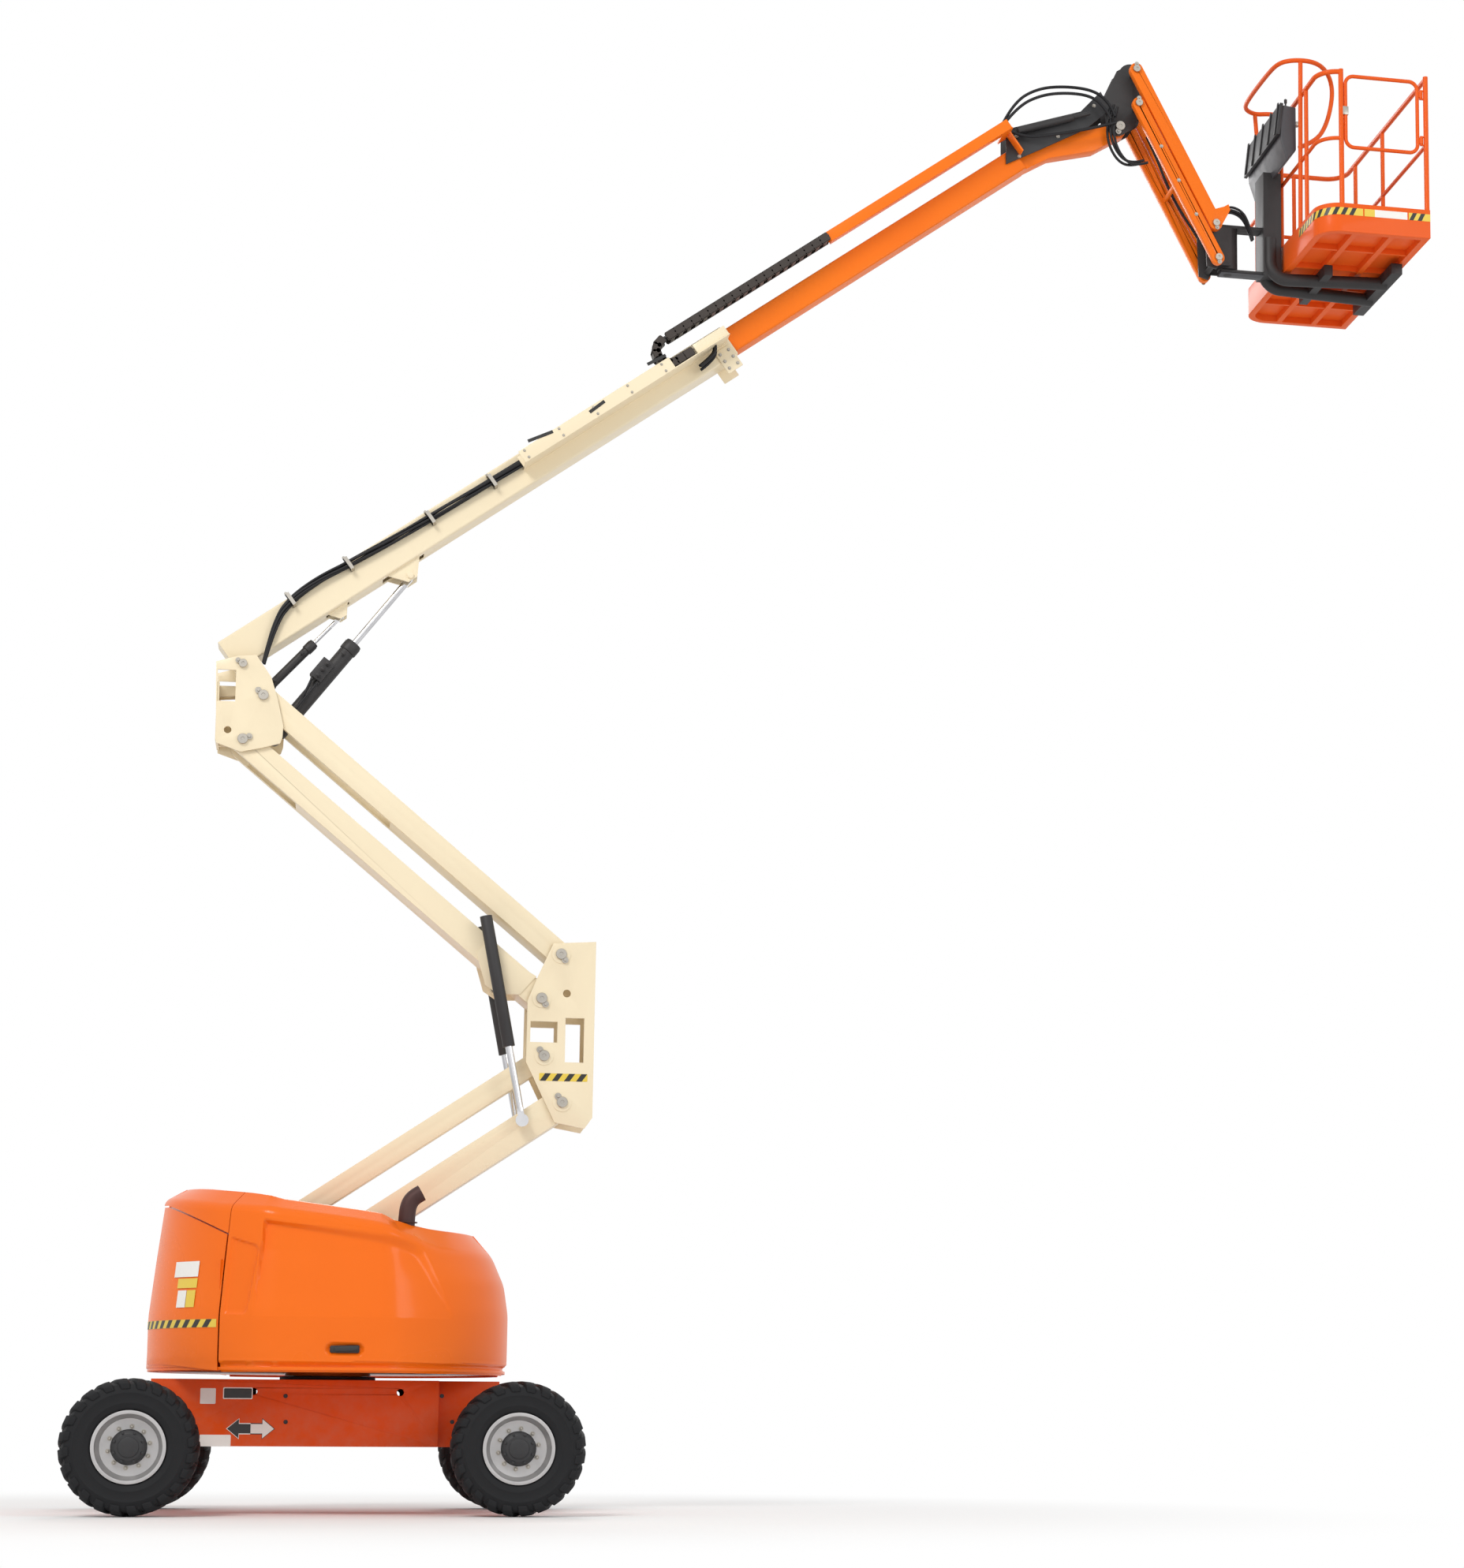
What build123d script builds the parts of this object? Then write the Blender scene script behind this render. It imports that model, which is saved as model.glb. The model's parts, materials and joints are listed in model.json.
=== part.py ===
from build123d import *
from math import atan2, cos, degrees, hypot, radians, sin, tan
import os

os.makedirs("parts", exist_ok=True)

# Sizes are in millimetres and angles in degrees. The swing axis stands at x = 0, the boom points to +X,
# +Z is up and the ground is z = 0. Every piece moves by frame_shift when it is written.

# Wheels and axles
tyre_radius = 415.0
tyre_width = 310.0
bead_radius = 209.0
tread_height = 16.0
lug_count = 24
lug_half = 30.0
wheel_base = 2327.6
track_centre = 980.0
rim_flange_radius = 221.0
rim_wall = 9.0
hub_radius = 97.0
spindle_radius = 60.0
spindle_end_y = 905.0
running_gap = 0.08
axle_depth = 160.0
axle_width = 180.0
kingpin_y = 700.0
kingpin_radius = 26.0

# Chassis
deck_z = 835.0
belly_z = 420.0
chassis_half_width = 560.0
chassis_nose_half_width = 430.0
chassis_full_end_x = 690.0
plate = 12.0
tie_down_x = 450.0
tie_down_z = 760.0
tie_down_radius = 22.0

# Turntable
table_low_z = 885.0
deck_inset = 22.0
table_plate = 18.0
table_radius = 1150.0
table_half_width = 1085.0
bearing_radius = 302.0
bearing_bore = 220.0
channel_half_width = 160.0
channel_plate = 15.0
hood_inner_y = 200.0
hood_low_z = 873.0
hood_wall = 6.0
hinge_below = 10.0
hood_hinge_xs = (-450.0, 190.0)
exhaust_x = 455.0
exhaust_y = -750.0
exhaust_radius = 38.0
tail_face_x = -668.0
tail_seam_z = 1560.0
roof_rear_z = 2046.0
roof_slope = 0.119
roof_crown = 22.0
roof_inset = 235.0
shoulder_inset = 85.0
shoulder_drop = 72.0
side_crease_z = 1225.0
nose_roof_z = 1785.0
nose_crease_z = 1630.0
nose_inset = 109.0
hood_seam_x = -660.0
visor_rear_x = -1127.0
visor_seam_z = 1722.0
visor_slope = 0.46
engine_length = 680.0
tank_length = 820.0

# Tower: two level links below the middle post and two above it
lower_link_length = 2450.0
lower_link_angle = 34.3
upper_link_length = 2560.0
upper_link_angle = 39.8
lower_pin_x = -571.0
lower_pin_z = 1279.0
second_pin_dx = -124.0
second_pin_dz = 303.0
upper_pin_dx = -147.0
upper_pin_dz = 682.0
fourth_pin_dx = -25.0
fourth_pin_dz = 979.0
main_link_depth = 195.0
second_link_depth = 133.0
upper_link_depth = 165.0
link_half_width = 148.0
second_link_half_width = 95.0
fork_inner_y = 105.0
link_wall = 6.0
pin_radius = 28.0
post_inner_y = 158.0
post_plate = 15.0

# Top post
heel_pin_dx = -14.0
heel_pin_dz = 501.0
level_pin_dx = 121.0
level_pin_dz = 355.0
lift_pin_dx = 191.0
lift_pin_dz = 50.0

# Tower cylinders
tower_cylinder_y = 226.0
tower_barrel_radius = 40.0
tower_rod_radius = 24.0
tower_lug_along = 283.0
tower_lug_below = 117.0
tower_rod_back = 290.0
tower_rod_above = 39.0
tower_barrel_above = 440.0
tower_barrel_below = 430.0
tower_rod_length = 830.0

# Main boom
boom_angle = 36.2
boom_depth = 223.0
boom_half_width = 100.0
boom_length = 4000.0
boom_wall = 6.0
tube_corner = 14.0
fly_depth = 170.0
fly_half_width = 80.0
fly_start = 3250.0
fly_end = 6520.0
nose_along = 7290.0
nose_drop = 80.0
stroke = 2300.0
lift_rod_along = 1259.0
lift_rod_below = 76.0
level_rod_along = 738.0
level_rod_below = 45.0
lift_barrel_radius = 52.0
lift_barrel_length = 834.0
level_barrel_radius = 29.0
level_barrel_length = 470.0

# Hose track beside the boom
track_y = 205.0
track_half_width = 50.0
track_bend_along = 3570.0
track_low = 118.0
track_high = 352.0
track_link_depth = 62.0
track_pitch = 70.0
groove_depth = 7.0
tray_start = 2300.0
push_tube_start = 4970.0
push_tube_end = 6540.0

# Jib
jib_length = 1230.0
jib_angle = -62.0
head_low_dx = 106.0
head_low_dz = 129.0
jib_pin_dx = -17.0
jib_pin_dz = 250.0
jib_bar_half_width = 200.0
jib_bar_width = 50.0

# Platform
rotator_ahead = 121.5
rotator_radius = 72.0
rotator_below = 20.0
rotator_above = 30.0
basket_ahead = 391.5
basket_width = 797.5
basket_half_length = 915.0
basket_corner = 165.0
basket_floor_below = 28.8
basket_height = 1170.5
toe_board_height = 150.0
rail_radius = 17.0
mid_rail_above = 673.5
gate_post_ahead = 165.5
fork_depth = 112.0
fork_half_width = 165.0
fork_tube_radius = 44.0
fork_bar_half_length = 420.0

axle_x = wheel_base / 2
axle_z = tyre_radius
axle_face = axle_x - axle_width / 2


def block(x_low, x_high, y_low, y_high, z_low, z_high):
    box = Box(x_high - x_low, y_high - y_low, z_high - z_low)
    return Pos((x_low + x_high) / 2, (y_low + y_high) / 2, (z_low + z_high) / 2) * box


def prism(points, y_low, y_high):
    outline = Polyline(*[(x, y_low, z) for x, z in points], close=True)
    return extrude(make_face(outline), amount=y_high - y_low, dir=(0, 1, 0))


def disc(point, radius, y_low, y_high):
    middle = Pos(point[0], (y_low + y_high) / 2, point[1])
    return middle * Rot(90, 0, 0) * Cylinder(radius, y_high - y_low)


def rounded_tube(start, end, half_width, z_low, z_high, corner):
    section = RectangleRounded(z_high - z_low, 2 * half_width, corner)
    return Pos(start, 0, (z_low + z_high) / 2) * Rot(0, 90, 0) * extrude(section, amount=end - start)


def post(x, y, radius, z_low, z_high):
    return Pos(x, y, (z_low + z_high) / 2) * Cylinder(radius, z_high - z_low)


def pair(shape):
    return shape + mirror(shape, about=Plane.XZ)


def far_side(shape):
    return mirror(shape, about=Plane.XZ)


def bar_along(first, second, depth, y_low, y_high):
    length = hypot(second[0] - first[0], second[1] - first[1])
    angle = degrees(atan2(second[1] - first[1], second[0] - first[0]))
    body = block(0, length, y_low, y_high, -depth / 2, depth / 2)
    body += disc((0, 0), depth / 2, y_low, y_high)
    body += disc((length, 0), depth / 2, y_low, y_high)
    return placed(body, first, angle)


def placed(shape, point, angle):
    return Pos(point[0], 0, point[1]) * Rot(0, -angle, 0) * shape


def turned(point, angle, along, above):
    x = point[0] + along * cos(radians(angle)) - above * sin(radians(angle))
    z = point[1] + along * sin(radians(angle)) + above * cos(radians(angle))
    return (x, z)


def rod_between(first, second, radius, y):
    length = hypot(second[0] - first[0], second[1] - first[1])
    angle = degrees(atan2(second[1] - first[1], second[0] - first[0]))
    body = Pos(length / 2, y, 0) * Rot(0, 90, 0) * Cylinder(radius, length)
    return placed(body, first, angle)


def tube_run(points, radius, bend):
    edges = []
    start = Vector(*points[0])
    for index in range(1, len(points) - 1):
        corner = Vector(*points[index])
        back = (Vector(*points[index - 1]) - corner).normalized()
        ahead = (Vector(*points[index + 1]) - corner).normalized()
        half = radians(back.get_angle(ahead)) / 2
        reach = bend / tan(half)
        middle = (back + ahead).normalized()
        centre = corner + middle * (bend / sin(half))
        enter = corner + back * reach
        leave = corner + ahead * reach
        edges.append(Edge.make_line(start, enter))
        edges.append(Edge.make_three_point_arc(enter, centre - middle * bend, leave))
        start = leave
    edges.append(Edge.make_line(start, Vector(*points[-1])))
    first_way = (Vector(*points[1]) - Vector(*points[0])).normalized()
    section = Plane(origin=points[0], z_dir=first_way) * Circle(radius)
    return sweep(section, path=Wire(edges))


# Pins of the tower, the boom and the jib, each as (x, z)
lower_pin = (lower_pin_x, lower_pin_z)
second_pin = (lower_pin_x + second_pin_dx, lower_pin_z + second_pin_dz)
lower_end = turned(lower_pin, lower_link_angle, lower_link_length, 0)
second_end = turned(second_pin, lower_link_angle, lower_link_length, 0)
upper_start = (lower_end[0] + upper_pin_dx, lower_end[1] + upper_pin_dz)
fourth_start = (lower_end[0] + fourth_pin_dx, lower_end[1] + fourth_pin_dz)
upper_way = 180 - upper_link_angle
upper_end = turned(upper_start, upper_way, upper_link_length, 0)
fourth_end = turned(fourth_start, upper_way, upper_link_length, 0)
top_x = upper_end[0]
top_z = upper_end[1]
heel_pin = (top_x + heel_pin_dx, top_z + heel_pin_dz)
level_pin = (top_x + level_pin_dx, top_z + level_pin_dz)
lift_pin = (top_x + lift_pin_dx, top_z + lift_pin_dz)
nose_pin = turned(heel_pin, boom_angle, nose_along, -nose_drop)
head_low = (nose_pin[0] + head_low_dx, nose_pin[1] + head_low_dz)
head_high = (head_low[0] + jib_pin_dx, head_low[1] + jib_pin_dz)
foot_low = turned(head_low, jib_angle, jib_length, 0)
foot_high = (foot_low[0] + jib_pin_dx, foot_low[1] + jib_pin_dz)
rotator_x = foot_low[0] + rotator_ahead
basket_low_x = rotator_x + basket_ahead
basket_high_x = basket_low_x + basket_width
basket_floor_z = foot_low[1] - basket_floor_below
mid_rail_z = basket_floor_z + mid_rail_above
gate_post_x = basket_low_x + gate_post_ahead
frame_shift = (axle_x + tyre_radius - basket_high_x) / 2
pieces = {}

# Chassis: a hollow box with a narrower nose between the steered wheels
frame_box = block(-axle_face, chassis_full_end_x, -chassis_half_width, chassis_half_width, belly_z, deck_z)
frame_box += block(chassis_full_end_x - 1, axle_face, -chassis_nose_half_width, chassis_nose_half_width, belly_z, deck_z)
frame_room = block(-axle_face + plate, chassis_full_end_x - plate, plate - chassis_half_width,
                   chassis_half_width - plate, belly_z + plate, deck_z - plate)
frame_room += block(chassis_full_end_x - plate - 1, axle_face - plate, plate - chassis_nose_half_width,
                    chassis_nose_half_width - plate, belly_z + plate, deck_z - plate)
frame_box -= frame_room
for tie_x in (-tie_down_x, tie_down_x):
    frame_box -= disc((tie_x, tie_down_z), tie_down_radius, -chassis_half_width - 1, chassis_half_width + 1)
pieces["chassis_frame"] = frame_box

bearing = post(0, 0, bearing_radius, deck_z, deck_z + 27) - post(0, 0, bearing_bore, deck_z - 1, deck_z + 28)
pieces["swing_bearing"] = bearing

rear_axle = block(-axle_x - axle_width / 2, -axle_face, -780, 780, axle_z - axle_depth / 2, axle_z + axle_depth / 2)
rear_axle += disc((-axle_x, axle_z), spindle_radius, -spindle_end_y, spindle_end_y)
pieces["rear_axle"] = rear_axle

yoke_half = 62.0
yoke_inner_y = kingpin_y - 80
yoke = block(axle_x - yoke_half, axle_x + yoke_half, 560, kingpin_y + 60, axle_z - 138, axle_z + 138)
yoke -= block(axle_x - 100, axle_x + 100, yoke_inner_y, kingpin_y + 100, axle_z - 106, axle_z + 106)
yoke += post(axle_x, kingpin_y, kingpin_radius, axle_z - 137, axle_z + 137)
front_axle = block(axle_face, axle_x + axle_width / 2, -605, 605, axle_z - axle_depth / 2, axle_z + axle_depth / 2)
pieces["front_axle"] = front_axle + pair(yoke)

knuckle = post(axle_x, kingpin_y, 70, axle_z - 100, axle_z + 100)
knuckle += disc((axle_x, axle_z), spindle_radius, kingpin_y + 20, spindle_end_y)
knuckle += block(axle_x - 46, axle_x + 46, kingpin_y, kingpin_y + 78, axle_z - 96, axle_z + 96)
knuckle -= post(axle_x, kingpin_y, kingpin_radius + running_gap, axle_z - 140, axle_z + 140)
pieces["knuckle_far"] = knuckle
pieces["knuckle_near"] = far_side(knuckle)

# Wheels: a tyre with shoulder lugs on a dished rim
tyre_half = tyre_width / 2
groove_radius = tyre_radius - tread_height
tyre_profile = [
    (bead_radius + 0.3, 0), (bead_radius + 0.3, tyre_half - 23), (bead_radius + 16, tyre_half - 23),
    (bead_radius + 22, tyre_half - 12), (bead_radius + 100, tyre_half - 3), (groove_radius - 50, tyre_half - 5),
    (groove_radius - 18, tyre_half - 20), (groove_radius, tyre_half - 48), (groove_radius, 0),
]


def wheel_turned(profile):
    outline = Polyline(*[(radius, y, 0) for radius, y in profile], close=True)
    return revolve(make_face(outline), Axis.Y)


def lug(index):
    points = [(groove_radius - 46, tyre_half - 8), (tyre_radius - 34, tyre_half - 0.6), (tyre_radius - 5, tyre_half - 36),
              (tyre_radius - 0.4, tyre_half - 46), (tyre_radius - 0.4, 12), (groove_radius - 4, 12), (groove_radius - 4, tyre_half - 50)]
    outline = Polyline(*[(radius, y, -lug_half) for radius, y in points], close=True)
    body = extrude(make_face(outline), amount=2 * lug_half, dir=(0, 0, 1))
    return Rot(0, index * 360 / lug_count, 0) * body


tyre_side = wheel_turned(tyre_profile)
tyre_side += [lug(index) for index in range(lug_count)]
tyre = tyre_side + Rot(0, 180 / lug_count, 0) * far_side(tyre_side)
rim_profile = [
    (rim_flange_radius, 132), (rim_flange_radius, 141), (200, 141), (174, 63), (hub_radius, 63), (hub_radius, 117),
    (75, 133), (0, 133), (0, -69), (spindle_radius + running_gap, -69), (spindle_radius + running_gap, -101),
    (hub_radius, -101), (hub_radius, 49), (174, 49), (200, 31), (200, -141), (rim_flange_radius, -141),
    (rim_flange_radius, -132), (bead_radius, -132), (bead_radius, 132),
]
rim = wheel_turned(rim_profile)
for name, wheel_x, far in (("rear_near", -axle_x, False), ("rear_far", -axle_x, True),
                           ("steer_near", axle_x, False), ("steer_far", axle_x, True)):
    spot = Pos(wheel_x, track_centre, axle_z)
    wheel_tyre = spot * tyre
    wheel_rim = spot * rim
    pieces[f"tyre_{name}"] = wheel_tyre if far else far_side(wheel_tyre)
    pieces[f"rim_{name}"] = wheel_rim if far else far_side(wheel_rim)


# Turntable: a round plate with flat sides, two channel plates and the hood hinges
def plan_plate(radius, half_width, z_low, z_high):
    return post(0, 0, radius, z_low, z_high) & block(-2000, 2000, -half_width, half_width, z_low, z_high)


deck = plan_plate(table_radius - deck_inset, table_half_width - deck_inset / 2, table_low_z, table_low_z + table_plate)
deck += post(0, 0, bearing_radius - 30, table_low_z - 18, table_low_z + 1)
deck += post(0, 0, bearing_bore - running_gap, deck_z + 6, table_low_z + 1)
deck -= post(0, 0, 190, deck_z, table_low_z + table_plate + 1)
channel_points = [
    (tail_face_x - 200, table_low_z + table_plate - 1), (tail_face_x - 200, 1480), (tail_face_x - 107, 1660),
    (tail_face_x + 33, 1690), (tail_face_x + 227, 1380), (250, 1080), (980, 1040), (980, table_low_z + table_plate - 1),
]
channel = prism(channel_points, channel_half_width, channel_half_width + channel_plate)


def roof_z(x):
    return roof_rear_z - roof_slope * (x + table_radius)


def hinge_z(x):
    return roof_z(x) - hinge_below


hinge_tilt = degrees(atan2(roof_slope, 1))
for hinge_x in hood_hinge_xs:
    arm_z = hinge_z(hinge_x) - 34
    upright = block(hinge_x - 8, hinge_x + 8, channel_half_width, channel_half_width + channel_plate,
                    1030 if hinge_x > 0 else 1300, arm_z)
    upright += block(hinge_x - 8, hinge_x + 8, channel_half_width, hood_inner_y + 10, arm_z - 26, arm_z)
    upright += block(hinge_x - 8, hinge_x + 8, hood_inner_y - 10, hood_inner_y + 10, arm_z - 1, hinge_z(hinge_x) + 10)
    pin = Pos(hinge_x, hood_inner_y, hinge_z(hinge_x)) * Rot(0, 90 + hinge_tilt, 0) * Cylinder(8, 60)
    channel += upright + pin
for pin_spot in (lower_pin, second_pin):
    channel += disc(pin_spot, pin_radius, 0, channel_half_width + channel_plate + 8)
pieces["turntable_frame"] = deck + pair(channel)

# Hoods: sections across the turntable, from the tail seam round to the nose
def half_section(ridge, edge, heights, low, crown):
    way = (Vector(edge[0], edge[1], 0) - Vector(ridge[0], ridge[1], 0)).normalized()
    outer = Vector(edge[0], edge[1], 0)
    points = [outer - way * gone + Vector(0, 0, z) for gone, z in heights]
    points.append(Vector(ridge[0], ridge[1], crown))
    points.append(Vector(ridge[0], ridge[1], low))
    return make_face(Polyline(*points, close=True))


def hood_section(ridge, edge, dome, inset, low):
    roof = roof_z(edge[0]) * (1 - dome) + nose_roof_z * dome
    crease = (roof - shoulder_drop) * (1 - dome) + nose_crease_z * dome
    shoulder = shoulder_inset * (1 - dome) + nose_inset * dome
    heights = [
        (inset, low), (inset, side_crease_z + 37 * dome),
        (inset + shoulder * (0.5 - 0.2 * dome), (side_crease_z + crease) / 2 + 26 * dome),
        (inset + shoulder, crease - inset / 2), (inset + roof_inset, roof - inset),
    ]
    return half_section((ridge, inset * 2 - hood_inner_y), edge, heights, low, roof + roof_crown - inset)


def plan_edge(angle):
    return (table_radius * cos(radians(angle)), -table_radius * sin(radians(angle)))


def round_edge(x):
    return (x, -(table_radius ** 2 - x ** 2) ** 0.5)


flat_x = (table_radius ** 2 - table_half_width ** 2) ** 0.5
nose_angle = degrees(atan2(hood_inner_y, (table_radius ** 2 - hood_inner_y ** 2) ** 0.5))


def hood_shell(inset, low):
    rear_x = hood_seam_x - inset * 2
    stops = [(rear_x, round_edge(rear_x), 0.0), (-520, round_edge(-520), 0.0),
             (-flat_x, (-flat_x, -table_half_width), 0.0), (220, (220, -table_half_width), 0.0),
             (flat_x, (flat_x, -table_half_width), 0.10)]
    for angle, ridge_x, dome in ((62, 440, 0.40), (54, 500, 0.66), (45, 570, 0.86), (36, 640, 0.97), (27, 710, 1.0),
                                 (18, 790, 1.0), (nose_angle, 860, 1.0)):
        stops.append((ridge_x, plan_edge(angle), dome))
    return loft([hood_section(ridge, edge, dome, inset, low) for ridge, edge, dome in stops], ruled=True)


def visor_low(x):
    return visor_seam_z + (hood_seam_x - x) * visor_slope


def visor_shell(inset, drop):
    sections = []
    for x in (visor_rear_x + inset, -1085, -1000, -880, -760, hood_seam_x + 1):
        edge = round_edge(x)
        roof = roof_z(x)
        low = visor_low(x)
        deep = min(1.0, (-edge[1] - hood_inner_y) / 300)
        side = shoulder_inset * (low - side_crease_z) / (roof - shoulder_drop - side_crease_z) * deep
        heights = [(side + inset, low - drop), (shoulder_inset * deep + inset, roof - shoulder_drop - inset / 2),
                   (roof_inset * deep + inset, roof - inset)]
        sections.append(half_section((x, inset * 2 - hood_inner_y), edge, heights, low - drop, roof + roof_crown - inset))
    return loft(sections, ruled=True)


hood = hood_shell(0, hood_low_z) + visor_shell(0, 0)
hood -= hood_shell(hood_wall, hood_low_z - 10)
hood -= visor_shell(hood_wall, 12)
for hinge_x in hood_hinge_xs:
    pivot = Pos(hinge_x, -hood_inner_y, hinge_z(hinge_x)) * Rot(0, 90 + hinge_tilt, 0)
    for step in (-20, 20):
        ear = block(hinge_x + step - 6, hinge_x + step + 6, -hood_inner_y - 14, -hood_inner_y + 12,
                    hinge_z(hinge_x) - 13, roof_z(hinge_x) + roof_crown - 3)
        hood += ear
    hood -= pivot * Cylinder(8 + running_gap, 90)
pieces["hood_far"] = far_side(hood)
pieces["hood_near"] = hood - post(exhaust_x, exhaust_y, exhaust_radius + 0.3, 1500, 2200)
exhaust_route = [(exhaust_x, exhaust_y, 1700), (exhaust_x, exhaust_y, 1965), (exhaust_x + 70, exhaust_y - 80, 2035)]
pieces["exhaust_pipe"] = tube_run(exhaust_route, exhaust_radius, 60)

# Tail: one heavy block with a cover on each side of the channel, below the visor
tail_radius = table_radius - 14
weight = post(0, 0, tail_radius, table_low_z + table_plate, tail_seam_z)
weight = weight & block(-2000, tail_face_x, -2000, 2000, 0, 3000)
weight -= block(tail_face_x - 237, 0, -hood_inner_y, hood_inner_y, 0, 3000)
pieces["counterweight"] = weight


def tail_shell(inset, low):
    sections = []
    for x in (inset - 1100, -1060, -1000, -880, -760, tail_face_x + inset * 2):
        edge = (x, -(tail_radius ** 2 - x ** 2) ** 0.5)
        high = visor_low(x) - 12 - inset
        deep = min(1.0, (-edge[1] - hood_inner_y) / 300)
        heights = [(inset, low), (inset + 8 * deep, (low + high) / 2), (inset + 40 * deep, high)]
        sections.append(half_section((x, inset * 2 - hood_inner_y), edge, heights, low, high + 1))
    return loft(sections, ruled=True)


tail_cover = tail_shell(0, tail_seam_z) - tail_shell(hood_wall, tail_seam_z - 10)
pieces["tail_cover_near"] = tail_cover
pieces["tail_cover_far"] = far_side(tail_cover)
table_top_z = table_low_z + table_plate
pieces["engine_block"] = block(-engine_length / 2, engine_length / 2, -800, -400, table_top_z, 1360)
pieces["tank_block"] = block(-tank_length / 2, tank_length / 2, 420, 780, table_top_z, 1300)


# Tower links: hollow tubes between round pin ends
def link_tube(first, second, depth, half_width):
    length = hypot(second[0] - first[0], second[1] - first[1])
    angle = degrees(atan2(second[1] - first[1], second[0] - first[0]))
    tube = bar_along(first, second, depth, -half_width, half_width)
    for pin_spot in (first, second):
        tube -= disc(pin_spot, pin_radius + running_gap, -half_width - 1, half_width + 1)
    return tube, length, angle


def link_room(start, end, depth, half_width):
    return block(start, end, link_wall - half_width, half_width - link_wall, link_wall - depth / 2, depth / 2 - link_wall)


def fork_link(first, second, depth, fork_length):
    tube, length, angle = link_tube(first, second, depth, link_half_width)
    web = length - fork_length
    cut = link_room(depth * 0.6, web - link_wall, depth, link_half_width)
    cut += link_room(web, length - depth * 0.6, depth, link_half_width)
    cut += block(web, length + depth, -fork_inner_y, fork_inner_y, -depth, depth)
    return tube - placed(cut, first, angle)


tower_lug = turned(upper_start, upper_way, tower_lug_along, tower_lug_below)
tower_rod_pin = turned(lower_pin, lower_link_angle, lower_link_length - tower_rod_back, tower_rod_above)
tube, length, angle = link_tube(lower_pin, lower_end, main_link_depth, link_half_width)
tube -= placed(link_room(main_link_depth * 0.6, length - main_link_depth * 0.6, main_link_depth, link_half_width),
               lower_pin, angle)
tube += pair(disc(tower_rod_pin, 22, link_half_width - 1, link_half_width + 26))
pieces["lower_link_main"] = tube
tube, length, angle = link_tube(second_pin, second_end, second_link_depth, second_link_half_width)
tube -= placed(link_room(second_link_depth * 0.6, length - second_link_depth * 0.6, second_link_depth,
                         second_link_half_width), second_pin, angle)
pieces["lower_link_second"] = tube
upper_main = fork_link(upper_start, upper_end, upper_link_depth, 520)
lug_points = [(tower_lug[0] - 60, tower_lug[1] + 163), (tower_lug[0] - 38, tower_lug[1] + 14),
              (tower_lug[0] + 20, tower_lug[1] - 35), (tower_lug[0] + 148, tower_lug[1] - 10)]
tower_ear = prism(lug_points, link_half_width - 18, link_half_width)
tower_ear += disc(tower_lug, 38, link_half_width - 18, link_half_width)
upper_main += pair(tower_ear)
upper_main -= pair(disc(tower_lug, 20 + running_gap, 80, 200))
pieces["upper_link_main"] = upper_main
pieces["upper_link_second"] = fork_link(fourth_start, fourth_end, upper_link_depth * 0.92, 1150)

# Middle post: two side plates with a slot, a window and a round hole
post_x = lower_end[0]
post_z = lower_end[1]
mid_points = [
    (post_x - 76, post_z + 1050), (post_x + 203, post_z + 1069), (post_x + 199, post_z - 97),
    (post_x + 149, post_z - 170), (post_x - 47, post_z - 134), (post_x - 240, post_z + 260),
    (post_x - 238, post_z + 666), (post_x - 175, post_z + 825),
]
mid = prism(mid_points, post_inner_y, post_inner_y + post_plate)
mid -= block(post_x - 216, post_x - 40, post_inner_y - 5, post_inner_y + 40, post_z + 392, post_z + 530)
mid -= block(post_x + 12, post_x + 134, post_inner_y - 5, post_inner_y + 40, post_z + 264, post_z + 558)
mid -= disc((post_x + 17, post_z + 719), 26, post_inner_y - 5, post_inner_y + 40)
mid = pair(mid)
mid += block(post_x + 180, post_x + 196, -post_inner_y, post_inner_y, post_z - 60, post_z + 1040)
for pin_spot in (lower_end, second_end, upper_start, fourth_start):
    mid += disc(pin_spot, pin_radius, -post_inner_y - post_plate - 8, post_inner_y + post_plate + 8)
    mid += pair(disc(pin_spot, 62, post_inner_y + post_plate - 1, post_inner_y + post_plate + 5))
pieces["mid_post"] = mid

# Top post
top_points = [
    (top_x - 185, top_z + 507), (top_x - 46, top_z + 551), (top_x + 69, top_z + 563), (top_x + 169, top_z + 421),
    (top_x + 214, top_z + 276), (top_x + 255, top_z + 99), (top_x + 252, top_z + 26), (top_x + 238, top_z - 17),
    (top_x + 123, top_z - 52), (top_x - 10, top_z - 84), (top_x - 170, top_z - 30),
]
top = prism(top_points, post_inner_y, post_inner_y + post_plate)
top -= block(top_x - 173, top_x - 56, post_inner_y - 5, post_inner_y + 40, top_z + 246, top_z + 456)
top -= disc((top_x - 98, top_z + 57), 24, post_inner_y - 5, post_inner_y + 40)
top = pair(top)
top += block(top_x - 176, top_x - 160, -post_inner_y - 1, post_inner_y + 1, top_z - 10, top_z + 380)
for pin_spot in (upper_end, fourth_end):
    top += pair(disc(pin_spot, pin_radius, fork_inner_y + 1, post_inner_y + post_plate + 8))
top += disc(heel_pin, pin_radius - 8, -post_inner_y - post_plate - 8, post_inner_y + post_plate + 8)
lift_ear = prism([(top_x - 165, top_z - 8), (lift_pin[0], lift_pin[1] - 34), (lift_pin[0] + 34, lift_pin[1]),
                  (lift_pin[0], lift_pin[1] + 34), (top_x - 165, top_z + 130)], 50, 66)
level_ear = prism([(top_x - 165, top_z + 300), (level_pin[0], level_pin[1] - 26), (level_pin[0] + 26, level_pin[1]),
                   (level_pin[0], level_pin[1] + 26), (top_x - 165, top_z + 375)], 34, 50)
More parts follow.
